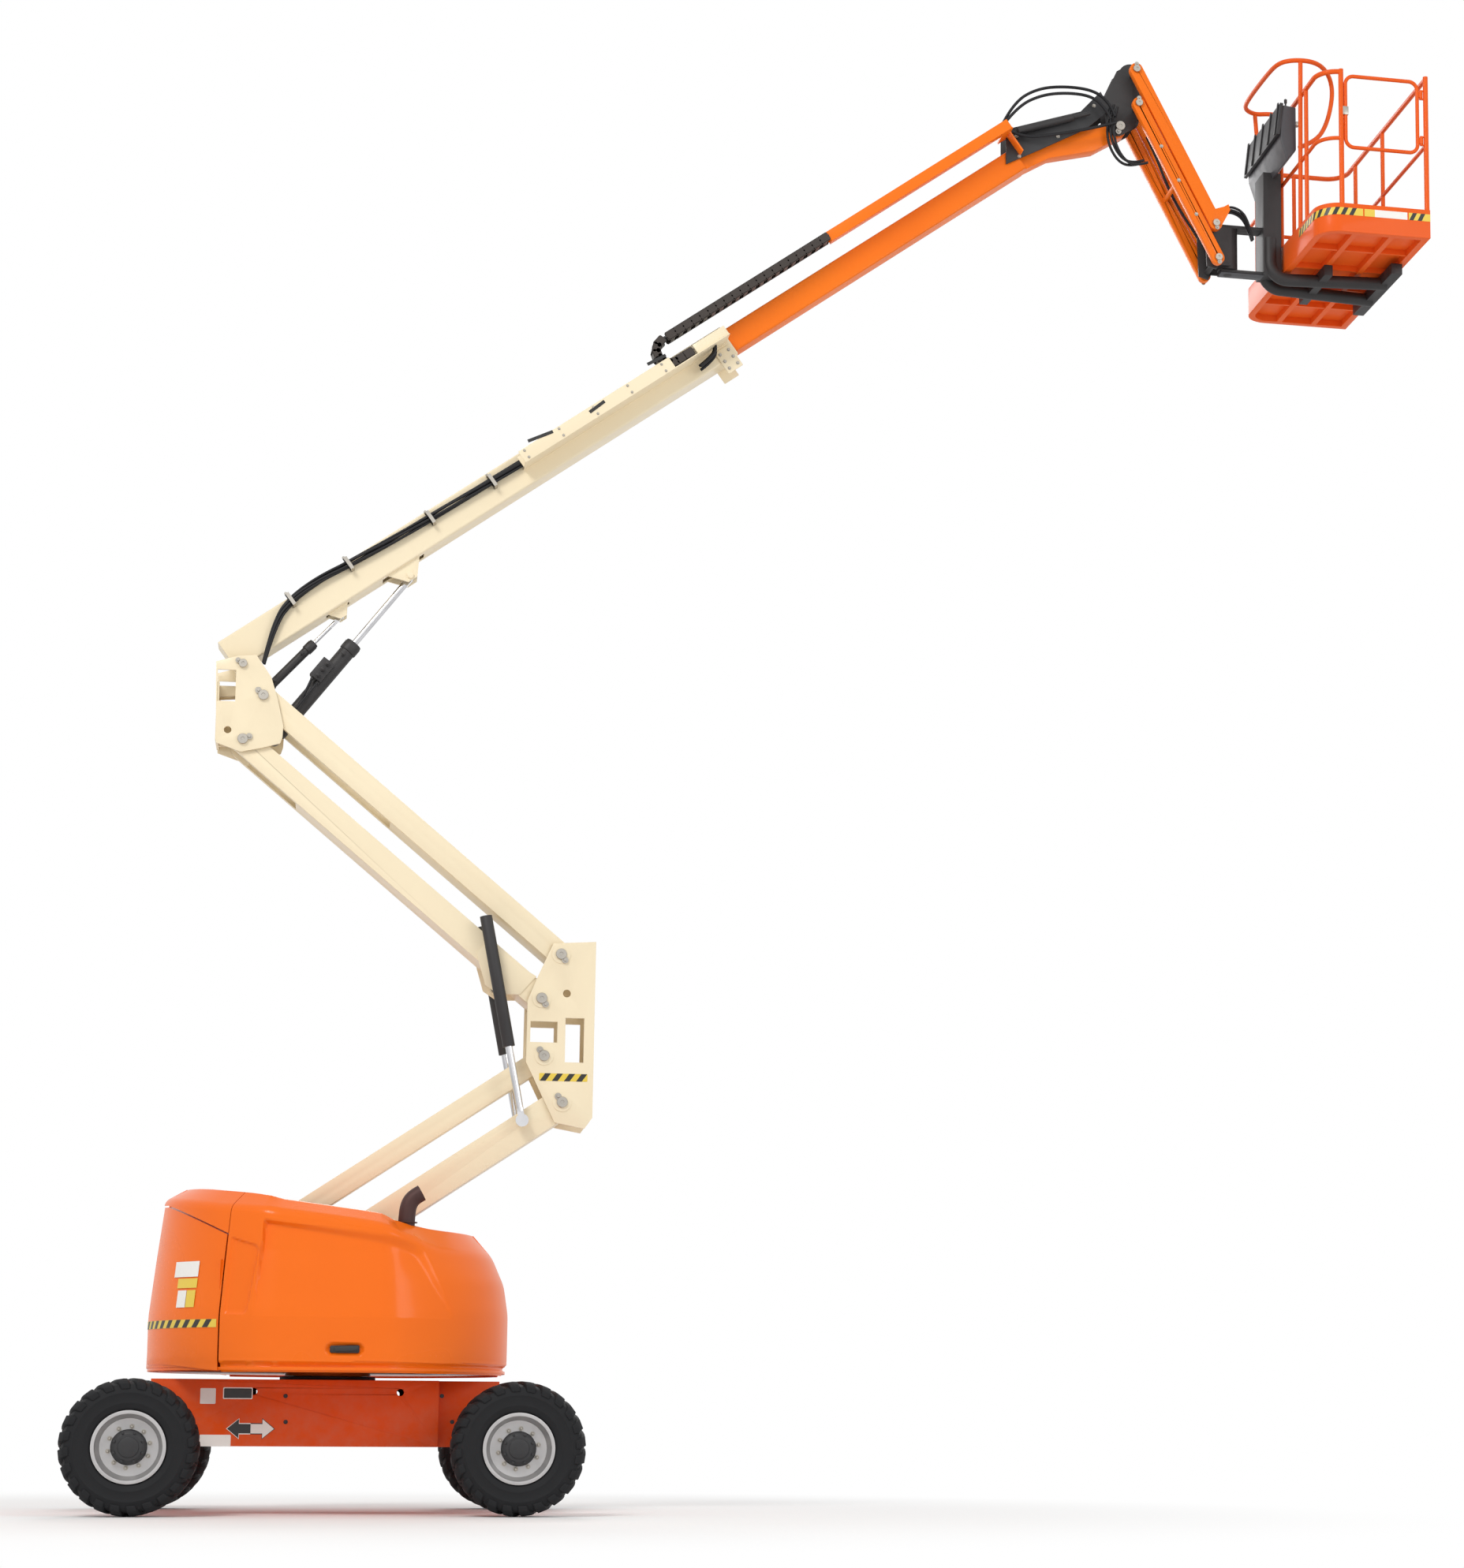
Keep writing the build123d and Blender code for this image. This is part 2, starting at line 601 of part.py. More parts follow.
top += pair(lift_ear) + pair(level_ear)
top += disc(lift_pin, pin_radius - 8, -74, 74) + disc(level_pin, pin_radius - 8, -58, 58)
pieces["top_post"] = top

# Tower cylinders
tower_way = degrees(atan2(tower_rod_pin[1] - tower_lug[1], tower_rod_pin[0] - tower_lug[0]))
tower_gap = hypot(tower_rod_pin[0] - tower_lug[0], tower_rod_pin[1] - tower_lug[1])
middle = Pos((tower_barrel_below - tower_barrel_above) / 2, tower_cylinder_y, 0) * Rot(0, 90, 0)
barrel = middle * Cylinder(tower_barrel_radius, tower_barrel_below + tower_barrel_above)
barrel -= middle * Cylinder(tower_rod_radius + 0.4, tower_barrel_below + tower_barrel_above - 24)
barrel -= Pos(tower_barrel_below, tower_cylinder_y, 0) * Rot(0, 90, 0) * Cylinder(tower_rod_radius + 0.4, 60)
barrel = pair(barrel)
shaft = disc((0, 0), 20, -tower_cylinder_y + tower_rod_radius + 6, tower_cylinder_y - tower_rod_radius - 6)
pieces["tower_barrels"] = placed(barrel + shaft, tower_lug, tower_way)
rod_run = Pos(tower_gap - tower_rod_length / 2 - 30, tower_cylinder_y, 0) * Rot(0, 90, 0)
rod = rod_run * Cylinder(tower_rod_radius, tower_rod_length - 60)
rod += disc((tower_gap, 0), 42, tower_cylinder_y - 24, tower_cylinder_y + 24)
rod += block(tower_gap - 80, tower_gap, tower_cylinder_y - 20, tower_cylinder_y + 20, -20, 20)
pieces["tower_rods"] = placed(pair(rod), tower_lug, tower_way)

# Main boom in its own frame: along the boom from the heel pin, with the underside at height zero
boom = rounded_tube(-45, boom_length, boom_half_width, 0, boom_depth, tube_corner)
boom -= block(60, boom_length + 1, boom_wall - boom_half_width, boom_half_width - boom_wall,
              boom_wall, boom_depth - boom_wall)
boom += pair(disc((0, 0), 62, 55, boom_half_width))
boom -= block(-70, 95, -54, 54, -70, 30)
boom -= disc((0, 0), pin_radius - 8 + running_gap, -200, 200)
boom -= block(lift_rod_along - 165, lift_rod_along + 165, -50, 50, -1, boom_wall + 1)
boom -= block(level_rod_along - 90, level_rod_along + 90, -34, 34, -1, boom_wall + 1)
rod_lug = prism([(lift_rod_along - 130, 4), (lift_rod_along + 130, 4), (lift_rod_along + 36, -lift_rod_below - 30),
                 (lift_rod_along - 36, -lift_rod_below - 30)], 62, 76)
boom += pair(rod_lug)
boom += pair(disc((lift_rod_along, -lift_rod_below), 22, 60, 90))
level_lug = prism([(level_rod_along - 80, 4), (level_rod_along + 80, 4), (level_rod_along + 24, -level_rod_below - 22),
                   (level_rod_along - 24, -level_rod_below - 22)], 40, 52)
boom += pair(level_lug)
fly_low = (boom_depth - fly_depth) / 2
pad_room = 0.3
for pad_along in (boom_length - 100, fly_start + 60):
    pads = block(pad_along, pad_along + 80, -60, 60, boom_wall - 1, fly_low - pad_room)
    pads += block(pad_along, pad_along + 80, -60, 60, fly_low + fly_depth + pad_room, boom_depth - boom_wall + 1)
    pads += pair(block(pad_along, pad_along + 80, fly_half_width + pad_room, boom_half_width - boom_wall + 1,
                       fly_low + 30, fly_low + fly_depth - 30))
    boom += pads
pieces["base_boom"] = placed(boom, heel_pin, boom_angle)

fly = rounded_tube(fly_start, fly_end, fly_half_width, fly_low, fly_low + fly_depth, tube_corner)
fly -= block(fly_start - 1, fly_end - 12, link_wall - fly_half_width, fly_half_width - link_wall,
             fly_low + link_wall, fly_low + fly_depth - link_wall)
nose_points = [
    (fly_end - 2, fly_low), (fly_end - 2, fly_low + fly_depth), (fly_end + 330, fly_low + fly_depth - 20),
    (nose_along - 250, 60), (nose_along - 60, -nose_drop + 62), (nose_along, -nose_drop + 60),
    (nose_along + 50, -nose_drop + 34), (nose_along + 60, -nose_drop), (nose_along + 42, -nose_drop - 42),
    (nose_along, -nose_drop - 60), (nose_along - 260, -nose_drop - 40), (fly_end + 200, fly_low - 20),
]
fly += prism(nose_points, -50, 50)
fly -= disc((nose_along, -nose_drop), pin_radius + running_gap, -100, 100)
pieces["fly_boom"] = placed(fly, heel_pin, boom_angle)

push = block(push_tube_start, push_tube_end, -track_y - 36, -track_y + 36, track_high - 72, track_high)
push -= block(push_tube_start + 5, push_tube_end - 5, -track_y - 30, -track_y + 30, track_high - 66, track_high - 6)
push += block(fly_end - 60, fly_end + 30, -track_y - 20, -49, track_high - 74, track_high - 62)
push += block(fly_end + 10, fly_end + 22, -track_y + 30, -50.3, 120, track_high - 62)
pieces["push_tube"] = placed(push, heel_pin, boom_angle)

# Hose track
tray = block(tray_start, boom_length - 20, -track_y - 64, -boom_half_width, track_low - 12, track_low - 6)
tray += block(tray_start, track_bend_along - 40, -track_y - 64, -track_y - 60, track_low - 12, track_low + 76)
tray += block(tray_start, track_bend_along - 40, -track_y + 56, -track_y + 60, track_low - 12, track_low + 76)
tray += block(track_bend_along + 150, boom_length - 20, -track_y - track_half_width, -track_y + track_half_width,
              track_low - 7, track_low + track_link_depth)
pieces["track_tray"] = placed(tray, heel_pin, boom_angle)

bend_radius = (track_high - track_low) / 2
bend_middle = (track_bend_along, (track_high + track_low) / 2)
loop = disc(bend_middle, bend_radius, -track_y - track_half_width, -track_y + track_half_width)
loop -= disc(bend_middle, bend_radius - track_link_depth, -400, 0)
loop -= block(track_bend_along, track_bend_along + 400, -400, 0, track_low - 40, track_high + 40)
loop += block(track_bend_along - 1, track_bend_along + 130, -track_y - track_half_width,
              -track_y + track_half_width, track_low, track_low + track_link_depth)
for turn in range(-80, 81, 20):
    groove = Pos(bend_middle[0], -track_y, bend_middle[1]) * Rot(0, turn, 0)
    loop -= groove * Pos(-bend_radius, 0, 0) * Box(2 * groove_depth, 2 * track_half_width + 2, 4)
pieces["track_loop"] = placed(loop, heel_pin, boom_angle)
run = block(track_bend_along + 0.5, push_tube_start - 0.5, -track_y - track_half_width,
            -track_y + track_half_width, track_high - track_link_depth, track_high)
link_count = round((push_tube_start - track_bend_along) / track_pitch)
for link in range(1, link_count):
    link_x = track_bend_along + link * track_pitch
    run -= block(link_x - 2, link_x + 2, -track_y - track_half_width - 1, -track_y + track_half_width + 1,
                 track_high - groove_depth, track_high + 1)
    run -= block(link_x - 2, link_x + 2, -track_y - track_half_width - 1, -track_y + track_half_width + 1,
                 track_high - track_link_depth - 1, track_high - track_link_depth + groove_depth)
pieces["track_upper_run"] = placed(run, heel_pin, boom_angle)

# Boom cylinders
lift_rod_pin = turned(heel_pin, boom_angle, lift_rod_along, -lift_rod_below)
level_rod_pin = turned(heel_pin, boom_angle, level_rod_along, -level_rod_below)


def cylinder_pair(base, rod_pin, barrel_radius, barrel_length, rod_radius, rod_length, half_eye, eye_radius):
    way = degrees(atan2(rod_pin[1] - base[1], rod_pin[0] - base[0]))
    gap = hypot(rod_pin[0] - base[0], rod_pin[1] - base[1])
    shell = Pos(barrel_length / 2 + 20, 0, 0) * Rot(0, 90, 0) * Cylinder(barrel_radius, barrel_length - 40)
    shell += disc((0, 0), half_eye, -half_eye, half_eye)
    shell += block(0, 50, -half_eye, half_eye, -half_eye * 0.8, half_eye * 0.8)
    room = Pos(barrel_length / 2 + 50, 0, 0) * Rot(0, 90, 0) * Cylinder(barrel_radius - 9, barrel_length - 140)
    shell -= room
    shell -= Pos(barrel_length, 0, 0) * Rot(0, 90, 0) * Cylinder(rod_radius + 0.4, 260)
    shell -= disc((0, 0), pin_radius - 8 + running_gap, -100, 100)
    stem = Pos(gap - rod_length / 2 - 15, 0, 0) * Rot(0, 90, 0) * Cylinder(rod_radius, rod_length - 30)
    stem += disc((gap, 0), eye_radius, -half_eye, half_eye)
    stem += block(gap - 60, gap, -rod_radius, rod_radius, -rod_radius, rod_radius)
    return placed(shell, base, way), placed(stem, base, way)


lift_barrel, lift_rod = cylinder_pair(lift_pin, lift_rod_pin, lift_barrel_radius, lift_barrel_length, 22, 890, 44, 24)
level_barrel, level_rod = cylinder_pair(level_pin, level_rod_pin, level_barrel_radius, level_barrel_length, 13, 370, 26, 18)
pieces["lift_barrel"] = lift_barrel
pieces["lift_rod"] = lift_rod
pieces["level_barrel"] = level_barrel
pieces["level_rod"] = level_rod

# Jib
head_points = [
    (nose_pin[0] - 96, nose_pin[1] - 30), (nose_pin[0] - 118, nose_pin[1] + 200), (head_high[0] - 112, head_high[1] + 30),
    (head_high[0] - 60, head_high[1] + 62), (head_high[0] + 83, head_high[1] - 30), (head_low[0] + 62, head_low[1] - 18),
    (nose_pin[0] + 90, nose_pin[1] - 10), (nose_pin[0], nose_pin[1] - 66),
]
head = prism(head_points, 58, 74)
head += disc((head_high[0] - 10, head_high[1] + 2), 88, 58, 74)
head += disc((head_low[0] + 4, head_low[1] - 20), 62, 58, 74)
head += disc((nose_pin[0] - 20, nose_pin[1] + 16), 82, 58, 74)
head = pair(head)
head += prism([(head_high[0] - 110, head_high[1] - 10), (head_high[0] - 56, head_high[1] + 62),
               (head_high[0] - 50, head_high[1] + 54), (head_high[0] - 102, head_high[1] - 14)], -60, 60)
for pin_spot in (head_low, head_high):
    head += disc(pin_spot, 20, -jib_bar_half_width - 6, jib_bar_half_width + 6)
head += disc(nose_pin, pin_radius, -82, 82)
pieces["jib_head"] = head

lower_bar = bar_along(head_low, foot_low, 88, jib_bar_half_width - jib_bar_width, jib_bar_half_width)
for pin_spot in (head_low, foot_low):
    lower_bar -= disc(pin_spot, 20 + running_gap, 0, 400)
lower_bars = pair(lower_bar)
tie = turned(head_low, jib_angle, jib_length * 0.5, 0)
lower_bars += disc(tie, 18, -jib_bar_half_width + 10, jib_bar_half_width - 10)
pieces["jib_lower_bars"] = lower_bars
upper_bar = bar_along(head_high, foot_high, 92, jib_bar_half_width - jib_bar_width, jib_bar_half_width)
flare_points = [
    turned(foot_high, jib_angle, -96, 44), (foot_high[0] + 60, foot_high[1] + 128), (foot_high[0] + 92, foot_high[1] + 148),
    (foot_high[0] + 104, foot_high[1] + 106), (foot_high[0] + 80, foot_high[1] + 60), (foot_high[0] + 40, foot_high[1] - 16),
    (foot_high[0], foot_high[1]),
]
upper_bar += prism(flare_points, jib_bar_half_width - 12, jib_bar_half_width)
for pin_spot in (head_high, foot_high):
    upper_bar -= disc(pin_spot, 20 + running_gap, 0, 400)
upper_bars = pair(upper_bar)
tie = turned(head_high, jib_angle, jib_length * 0.6, 0)
upper_bars += disc(tie, 18, -jib_bar_half_width + 10, jib_bar_half_width - 10)
pieces["jib_upper_bars"] = upper_bars

rotator_low_z = foot_low[1] - rotator_below
rotator_high_z = foot_high[1] + rotator_above
foot_points = [
    (foot_low[0] - 60, foot_low[1] - 30), (foot_high[0] - 56, foot_high[1] + 20), (foot_high[0] + 10, foot_high[1] + 50),
    (rotator_x - 92, rotator_high_z - 10), (rotator_x, rotator_high_z - 20), (rotator_x, rotator_low_z + 6),
    (rotator_x - 92, rotator_low_z + 6), (foot_low[0] + 10, foot_low[1] - 50),
]
foot = pair(prism(foot_points, 96, 112))
foot += post(rotator_x, 0, rotator_radius, rotator_low_z, rotator_high_z)
foot += post(rotator_x, 0, 30, rotator_low_z - 27, rotator_high_z + 27)
foot += block(rotator_x - 46, rotator_x - 30, -112, 112, rotator_low_z + 20, rotator_high_z - 30)
for pin_spot in (foot_low, foot_high):
    foot += disc(pin_spot, 20, -jib_bar_half_width - 6, jib_bar_half_width + 6)
pieces["jib_foot"] = foot

# Platform support: two grey arms on the rotator, a column and a fork below the floor
fork_z = basket_floor_z - fork_depth / 2
arms = block(rotator_x - 60, basket_low_x - 130, -55, 55, rotator_high_z + 3, rotator_high_z + 21)
arms += block(rotator_x - 60, basket_low_x - 130, -55, 55, rotator_low_z - 21, rotator_low_z - 3)
arms -= post(rotator_x, 0, 30 + running_gap, rotator_low_z - 60, rotator_high_z + 60)
column = block(basket_low_x - 150, basket_low_x - 20, -100, 100, rotator_low_z - 21, rotator_high_z + 420)
column -= block(basket_low_x - 142, basket_low_x - 28, -92, 92, rotator_low_z - 13, rotator_high_z + 412)
legs = Part()
for leg_y in (-fork_half_width, fork_half_width):
    leg_route = [(basket_low_x - 100, leg_y / 2, fork_z + 300), (basket_low_x - 100, leg_y / 2, fork_z),
                 (basket_high_x - 60, leg_y, fork_z)]
    legs += tube_run(leg_route, fork_tube_radius, 130)
beam_x = basket_low_x + basket_width / 3
legs += block(beam_x - 30, beam_x + 30, -fork_bar_half_length * 0.7, fork_bar_half_length * 0.7, fork_z - 20, basket_floor_z)
legs += block(basket_high_x - 110, basket_high_x - 30, -fork_bar_half_length, fork_bar_half_length,
              fork_z - 20, basket_floor_z)
pieces["platform_support"] = arms + column + legs

floor_top = basket_floor_z + 52


def basket_plan(inset, z_low, z_high):
    plan = block(basket_low_x + inset, basket_high_x - inset, inset - basket_half_length, basket_half_length - inset,
                 z_low, z_high)
    for way in (-1, 1):
        corner_y = way * (basket_half_length - basket_corner)
        square = Pos(basket_low_x + basket_corner / 2, corner_y + way * basket_corner / 2, (z_low + z_high) / 2)
        waste = square * Box(basket_corner, basket_corner, z_high - z_low + 2)
        waste -= post(basket_low_x + basket_corner, corner_y, basket_corner - inset, z_low - 2, z_high + 2)
        plan -= waste
    return plan


floor = basket_plan(0, basket_floor_z, floor_top) - basket_plan(50, basket_floor_z - 1, floor_top - 5)
for rib in range(1, 3):
    rib_x = basket_low_x + (basket_high_x - basket_low_x) * rib / 3
    floor += block(rib_x - 20, rib_x + 20, 40 - basket_half_length, basket_half_length - 40, basket_floor_z, floor_top - 4)
for rib in range(1, 5):
    rib_y = (rib / 2.5 - 1) * basket_half_length
    floor += block(basket_low_x + 40, basket_high_x - 40, rib_y - 10, rib_y + 10, basket_floor_z + 8, floor_top - 4)
toe_wall = basket_plan(0, floor_top - 1, floor_top + toe_board_height)
toe_wall -= basket_plan(4, floor_top - 2, floor_top + toe_board_height + 1)
pieces["basket_floor"] = floor + toe_wall

rail_z = basket_floor_z + basket_height - rail_radius
left_x = basket_low_x + rail_radius
right_x = basket_high_x - rail_radius
side_y = basket_half_length - rail_radius
post_foot = floor_top + toe_board_height
rail_bend = basket_corner - rail_radius
top_rail = tube_run([(gate_post_x, -side_y, rail_z), (left_x, -side_y, rail_z), (left_x, side_y, rail_z),
                     (right_x, side_y, rail_z), (right_x, -side_y, rail_z)], rail_radius, rail_bend)
mid_rail = tube_run([(gate_post_x, -side_y, mid_rail_z), (left_x, -side_y, mid_rail_z), (left_x, side_y, mid_rail_z),
                     (right_x, side_y, mid_rail_z), (right_x, -side_y, mid_rail_z)], rail_radius * 0.8, rail_bend)
for spot_x in (gate_post_x, right_x):
    top_rail += post(spot_x, -side_y, rail_radius + 0.5, post_foot, rail_z + rail_radius)
rails = top_rail + mid_rail
gate_low = mid_rail_z - 60
gate_high = rail_z - 26
gate_left = gate_post_x + 32
gate_right = right_x - 62
gate_hinge_x = right_x - 34
gate_hinge_zs = (gate_low + 90, gate_high - 90)
for hinge_z in gate_hinge_zs:
    rails += post(gate_hinge_x, -side_y, 8, hinge_z - 34, hinge_z + 34)
    for step in (-30, 30):
        rails += block(gate_hinge_x - 11, right_x, -side_y - 7, -side_y + 7, hinge_z + step - 4, hinge_z + step + 4)
middle_x = (basket_low_x + basket_high_x) / 2
for spot_x, spot_y in ((left_x, -580), (left_x, 0), (left_x, 600), (right_x, 0), (right_x, 600), (middle_x, side_y)):
    rails += post(spot_x, spot_y, rail_radius - 2, post_foot, rail_z)
pieces["basket_rails"] = rails

gate = tube_run([(gate_right - 100, -side_y, gate_low), (gate_left, -side_y, gate_low), (gate_left, -side_y, gate_high),
                 (gate_right, -side_y, gate_high), (gate_right, -side_y, gate_low), (gate_right - 101, -side_y, gate_low)],
                13, 60)
for hinge_z in gate_hinge_zs:
    sleeve = post(gate_hinge_x, -side_y, 13, hinge_z - 25, hinge_z + 25)
    sleeve += block(gate_right, gate_hinge_x, -side_y - 8, -side_y + 8, hinge_z - 20, hinge_z + 20)
    gate += sleeve - post(gate_hinge_x, -side_y, 8 + running_gap, hinge_z - 40, hinge_z + 40)
pieces["gate"] = gate

console_x = left_x - rail_radius - 1
console_outline = [
    (console_x - 14, rail_z - 330), (console_x - 96, rail_z - 300), (console_x - 164, rail_z - 120),
    (console_x - 150, rail_z - 84), (console_x - 60, rail_z + 34), (console_x - 14, rail_z + 20),
]
console = prism(console_outline, -760, -150)
for hook_y in (-700, -250):
    console += block(console_x - 30, console_x + 0.7, hook_y - 20, hook_y + 20, rail_z - rail_radius, rail_z + rail_radius)
pieces["control_console"] = console

for name, shape in pieces.items():
    moved = Pos(frame_shift, 0, 0) * shape
    moved.label = name
    export_step(moved, f"parts/{name}.step")
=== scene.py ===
import json
import math
import random

import bmesh
import bpy
from mathutils import Matrix, Vector


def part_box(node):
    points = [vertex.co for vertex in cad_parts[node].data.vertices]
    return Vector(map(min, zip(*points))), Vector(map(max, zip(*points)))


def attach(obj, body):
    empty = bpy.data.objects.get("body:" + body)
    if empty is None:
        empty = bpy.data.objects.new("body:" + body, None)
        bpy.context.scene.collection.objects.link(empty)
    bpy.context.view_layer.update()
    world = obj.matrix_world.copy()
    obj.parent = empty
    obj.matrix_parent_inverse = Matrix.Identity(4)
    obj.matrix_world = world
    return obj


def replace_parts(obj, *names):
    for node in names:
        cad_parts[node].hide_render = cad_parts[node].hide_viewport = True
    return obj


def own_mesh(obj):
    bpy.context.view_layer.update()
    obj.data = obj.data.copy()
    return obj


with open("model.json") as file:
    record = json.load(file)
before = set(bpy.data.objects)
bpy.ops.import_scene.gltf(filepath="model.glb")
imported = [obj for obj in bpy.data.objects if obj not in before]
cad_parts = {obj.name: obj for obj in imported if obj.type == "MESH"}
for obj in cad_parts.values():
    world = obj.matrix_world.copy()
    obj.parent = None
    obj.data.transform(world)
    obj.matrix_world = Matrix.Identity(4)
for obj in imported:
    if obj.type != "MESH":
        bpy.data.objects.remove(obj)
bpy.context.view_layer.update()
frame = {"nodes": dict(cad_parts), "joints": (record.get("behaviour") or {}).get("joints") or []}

joints = {joint["name"]: joint for joint in frame["joints"]}
swingX = joints["turntable_swing"]["pos_m"][0]
heel = Vector(joints["boom_lift"]["pos_m"])
boomWay = Vector(joints["telescope"]["axis"])
boomUp = Vector((-boomWay.z, 0.0, boomWay.x))


def spot(name):  # a joint's place at rest
    return Vector(joints[name]["pos_m"])


def at(x, y, z):  # metres from the swing axis, on the ground
    return Vector((x + swingX, y, z))


def onBoom(along, y, above):  # metres along the boom from its heel pin, across, and square to the boom
    return heel + boomWay * along + Vector((0, y, 0)) + boomUp * above


def inPlane(y, points):
    return [at(x, y, z) for x, z in points]


def inFrame(x, y, z):
    return Vector((x, y, z))


# Camera: place in metres, turns in radians, and the lens in the photo's pixels
cameraSet = {
    "place": (-0.0427, -20.4744, 0.534), "yaw": 0.1963, "pitch": 0.122, "roll": 0.0053, "focal": 3935.9,
    "centre": (1195.99, 1332.47), "frame": (1856, 1988),
}


def makeCamera(facts):
    yaw, pitch, roll = facts["yaw"], facts["pitch"], facts["roll"]
    forward = Vector((math.sin(yaw) * math.cos(pitch), math.cos(yaw) * math.cos(pitch), math.sin(pitch)))
    level = Vector((math.cos(yaw), -math.sin(yaw), 0.0))
    upright = level.cross(forward)
    right = level * math.cos(roll) + upright * math.sin(roll)
    up = upright * math.cos(roll) - level * math.sin(roll)
    data = bpy.data.cameras.new("camera")
    camera = bpy.data.objects.new("camera", data)
    bpy.context.scene.collection.objects.link(camera)
    turn = Matrix((right, up, -forward)).transposed().to_4x4()
    camera.matrix_world = Matrix.Translation(at(*facts["place"])) @ turn
    wide, high = facts["frame"]
    data.sensor_width = 36.0
    data.lens = data.sensor_width * facts["focal"] / high
    data.shift_x = (wide / 2 - facts["centre"][0]) / high
    data.shift_y = (facts["centre"][1] - high / 2) / high
    data.clip_end = 200.0
    bpy.context.scene.camera = camera


# Node graphs: a Wire is a socket that takes + - * /, and a Graph makes all other nodes
class Wire:
    def __init__(self, graph, socket):
        self.graph = graph
        self.socket = socket

    def join(self, other, operation, flip=False):
        pair = (other, self) if flip else (self, other)
        return self.graph.node("ShaderNodeMath", {"operation": operation}, {0: pair[0], 1: pair[1]})

    def __add__(self, other):
        return self.join(other, "ADD")

    def __radd__(self, other):
        return self.join(other, "ADD", True)

    def __sub__(self, other):
        return self.join(other, "SUBTRACT")

    def __rsub__(self, other):
        return self.join(other, "SUBTRACT", True)

    def __mul__(self, other):
        return self.join(other, "MULTIPLY")

    def __rmul__(self, other):
        return self.join(other, "MULTIPLY", True)

    def __truediv__(self, other):
        return self.join(other, "DIVIDE")

    def __rtruediv__(self, other):
        return self.join(other, "DIVIDE", True)

    def larger(self, other):
        return self.join(other, "MAXIMUM")


class Graph:
    def __init__(self, tree):
        self.tree = tree

    def put(self, socket, value):
        if isinstance(value, Wire):
            self.tree.links.new(value.socket, socket)
            return
        if isinstance(value, tuple) and len(value) == 3 and socket.type == "RGBA":
            value = (*value, 1.0)
        socket.default_value = value

    def node(self, kind, settings, inputs, output=0):
        made = self.tree.nodes.new(kind)
        for key, value in settings.items():
            if key == "stops":
                ramp = made.color_ramp.elements
                for stop, (place, shade) in zip(ramp, value):
                    stop.position = place
                    stop.color = (shade, shade, shade, 1.0)
            else:
                setattr(made, key, value)
        for key, value in inputs.items():
            self.put(made.inputs[key], value)
        return Wire(self, made.outputs[output]) if len(made.outputs) else None


class Finish(Graph):
    def __init__(self, name):
        self.material = bpy.data.materials.new(name)
        self.material.use_nodes = True
        super().__init__(self.material.node_tree)
        self.shader = next(n for n in self.tree.nodes if n.type == "BSDF_PRINCIPLED")

    def mix(self, mask, first, second):
        return self.node("ShaderNodeMix", {"data_type": "RGBA"}, {0: mask, 6: first, 7: second}, 2)

    def noise(self, scale, detail=3.0, rough=0.5):
        place = self.node("ShaderNodeTexCoord", {}, {}, "Object")
        return self.node("ShaderNodeTexNoise", {}, {"Vector": place, "Scale": scale, "Detail": detail,
                                                    "Roughness": rough})

    def ramp(self, value, *stops):
        return self.node("ShaderNodeValToRGB", {"stops": stops}, {0: value})

    def position(self):
        return self.node("ShaderNodeNewGeometry", {}, {}, "Position")

    def bump(self, value, strength, distance):
        return self.node("ShaderNodeBump", {}, {"Height": value, "Strength": strength, "Distance": distance})

    def set(self, **sockets):
        for key, value in sockets.items():
            self.put(self.shader.inputs[key.replace("_", " ")], value)


# Stage: a white sky, a pale floor that fades to white, and three lamps as
# (name, place, aim, size, power, colour)
white = (1.0, 1.0, 1.0)
stageSet = {
    "sky": 0.62, "floor": (0.9, 0.9, 0.9), "speck": 0.99, "fade": (3.2, 7.5), "floorSize": 160.0,
    "lamps": [
        ("keyLamp", (-7.0, -13.0, 16.0), (2.0, 0.0, 4.5), 7.0, 1500.0, (1.0, 0.985, 0.96)),
        ("fillLamp", (13.0, -14.0, 9.0), (3.0, 0.0, 4.0), 8.0, 520.0, white),
        ("backLamp", (2.0, 15.0, 13.0), (2.0, 0.0, 4.0), 7.0, 650.0, white),
    ],
}


def makeWorld(facts):
    world = bpy.data.worlds.new("studio")
    bpy.context.scene.world = world
    world.use_nodes = True
    graph = Graph(world.node_tree)
    sky = graph.tree.nodes["Background"]
    graph.put(sky.inputs["Color"], white)
    graph.put(sky.inputs["Strength"], facts["sky"])
    paper = graph.node("ShaderNodeBackground", {}, {"Color": white, "Strength": 1.0})
    camera, glossy, through = (graph.node("ShaderNodeLightPath", {}, {}, f"Is {kind} Ray")
                               for kind in ("Camera", "Glossy", "Transmission"))
    seen = camera.larger(glossy).larger(through)
    shown = graph.node("ShaderNodeMixShader", {}, {0: seen, 1: Wire(graph, sky.outputs[0]), 2: paper})
    graph.put(graph.tree.nodes["World Output"].inputs[0], shown)


def addLamp(name, place, aim, size, power, colour):
    data = bpy.data.lights.new(name, "AREA")
    data.shape = "DISK"
    data.size = size
    data.energy = power
    data.color = colour
    lamp = bpy.data.objects.new(name, data)
    bpy.context.scene.collection.objects.link(lamp)
    lamp.location = at(*place)
    lamp.rotation_euler = (at(*aim) - at(*place)).to_track_quat("-Z", "Y").to_euler()


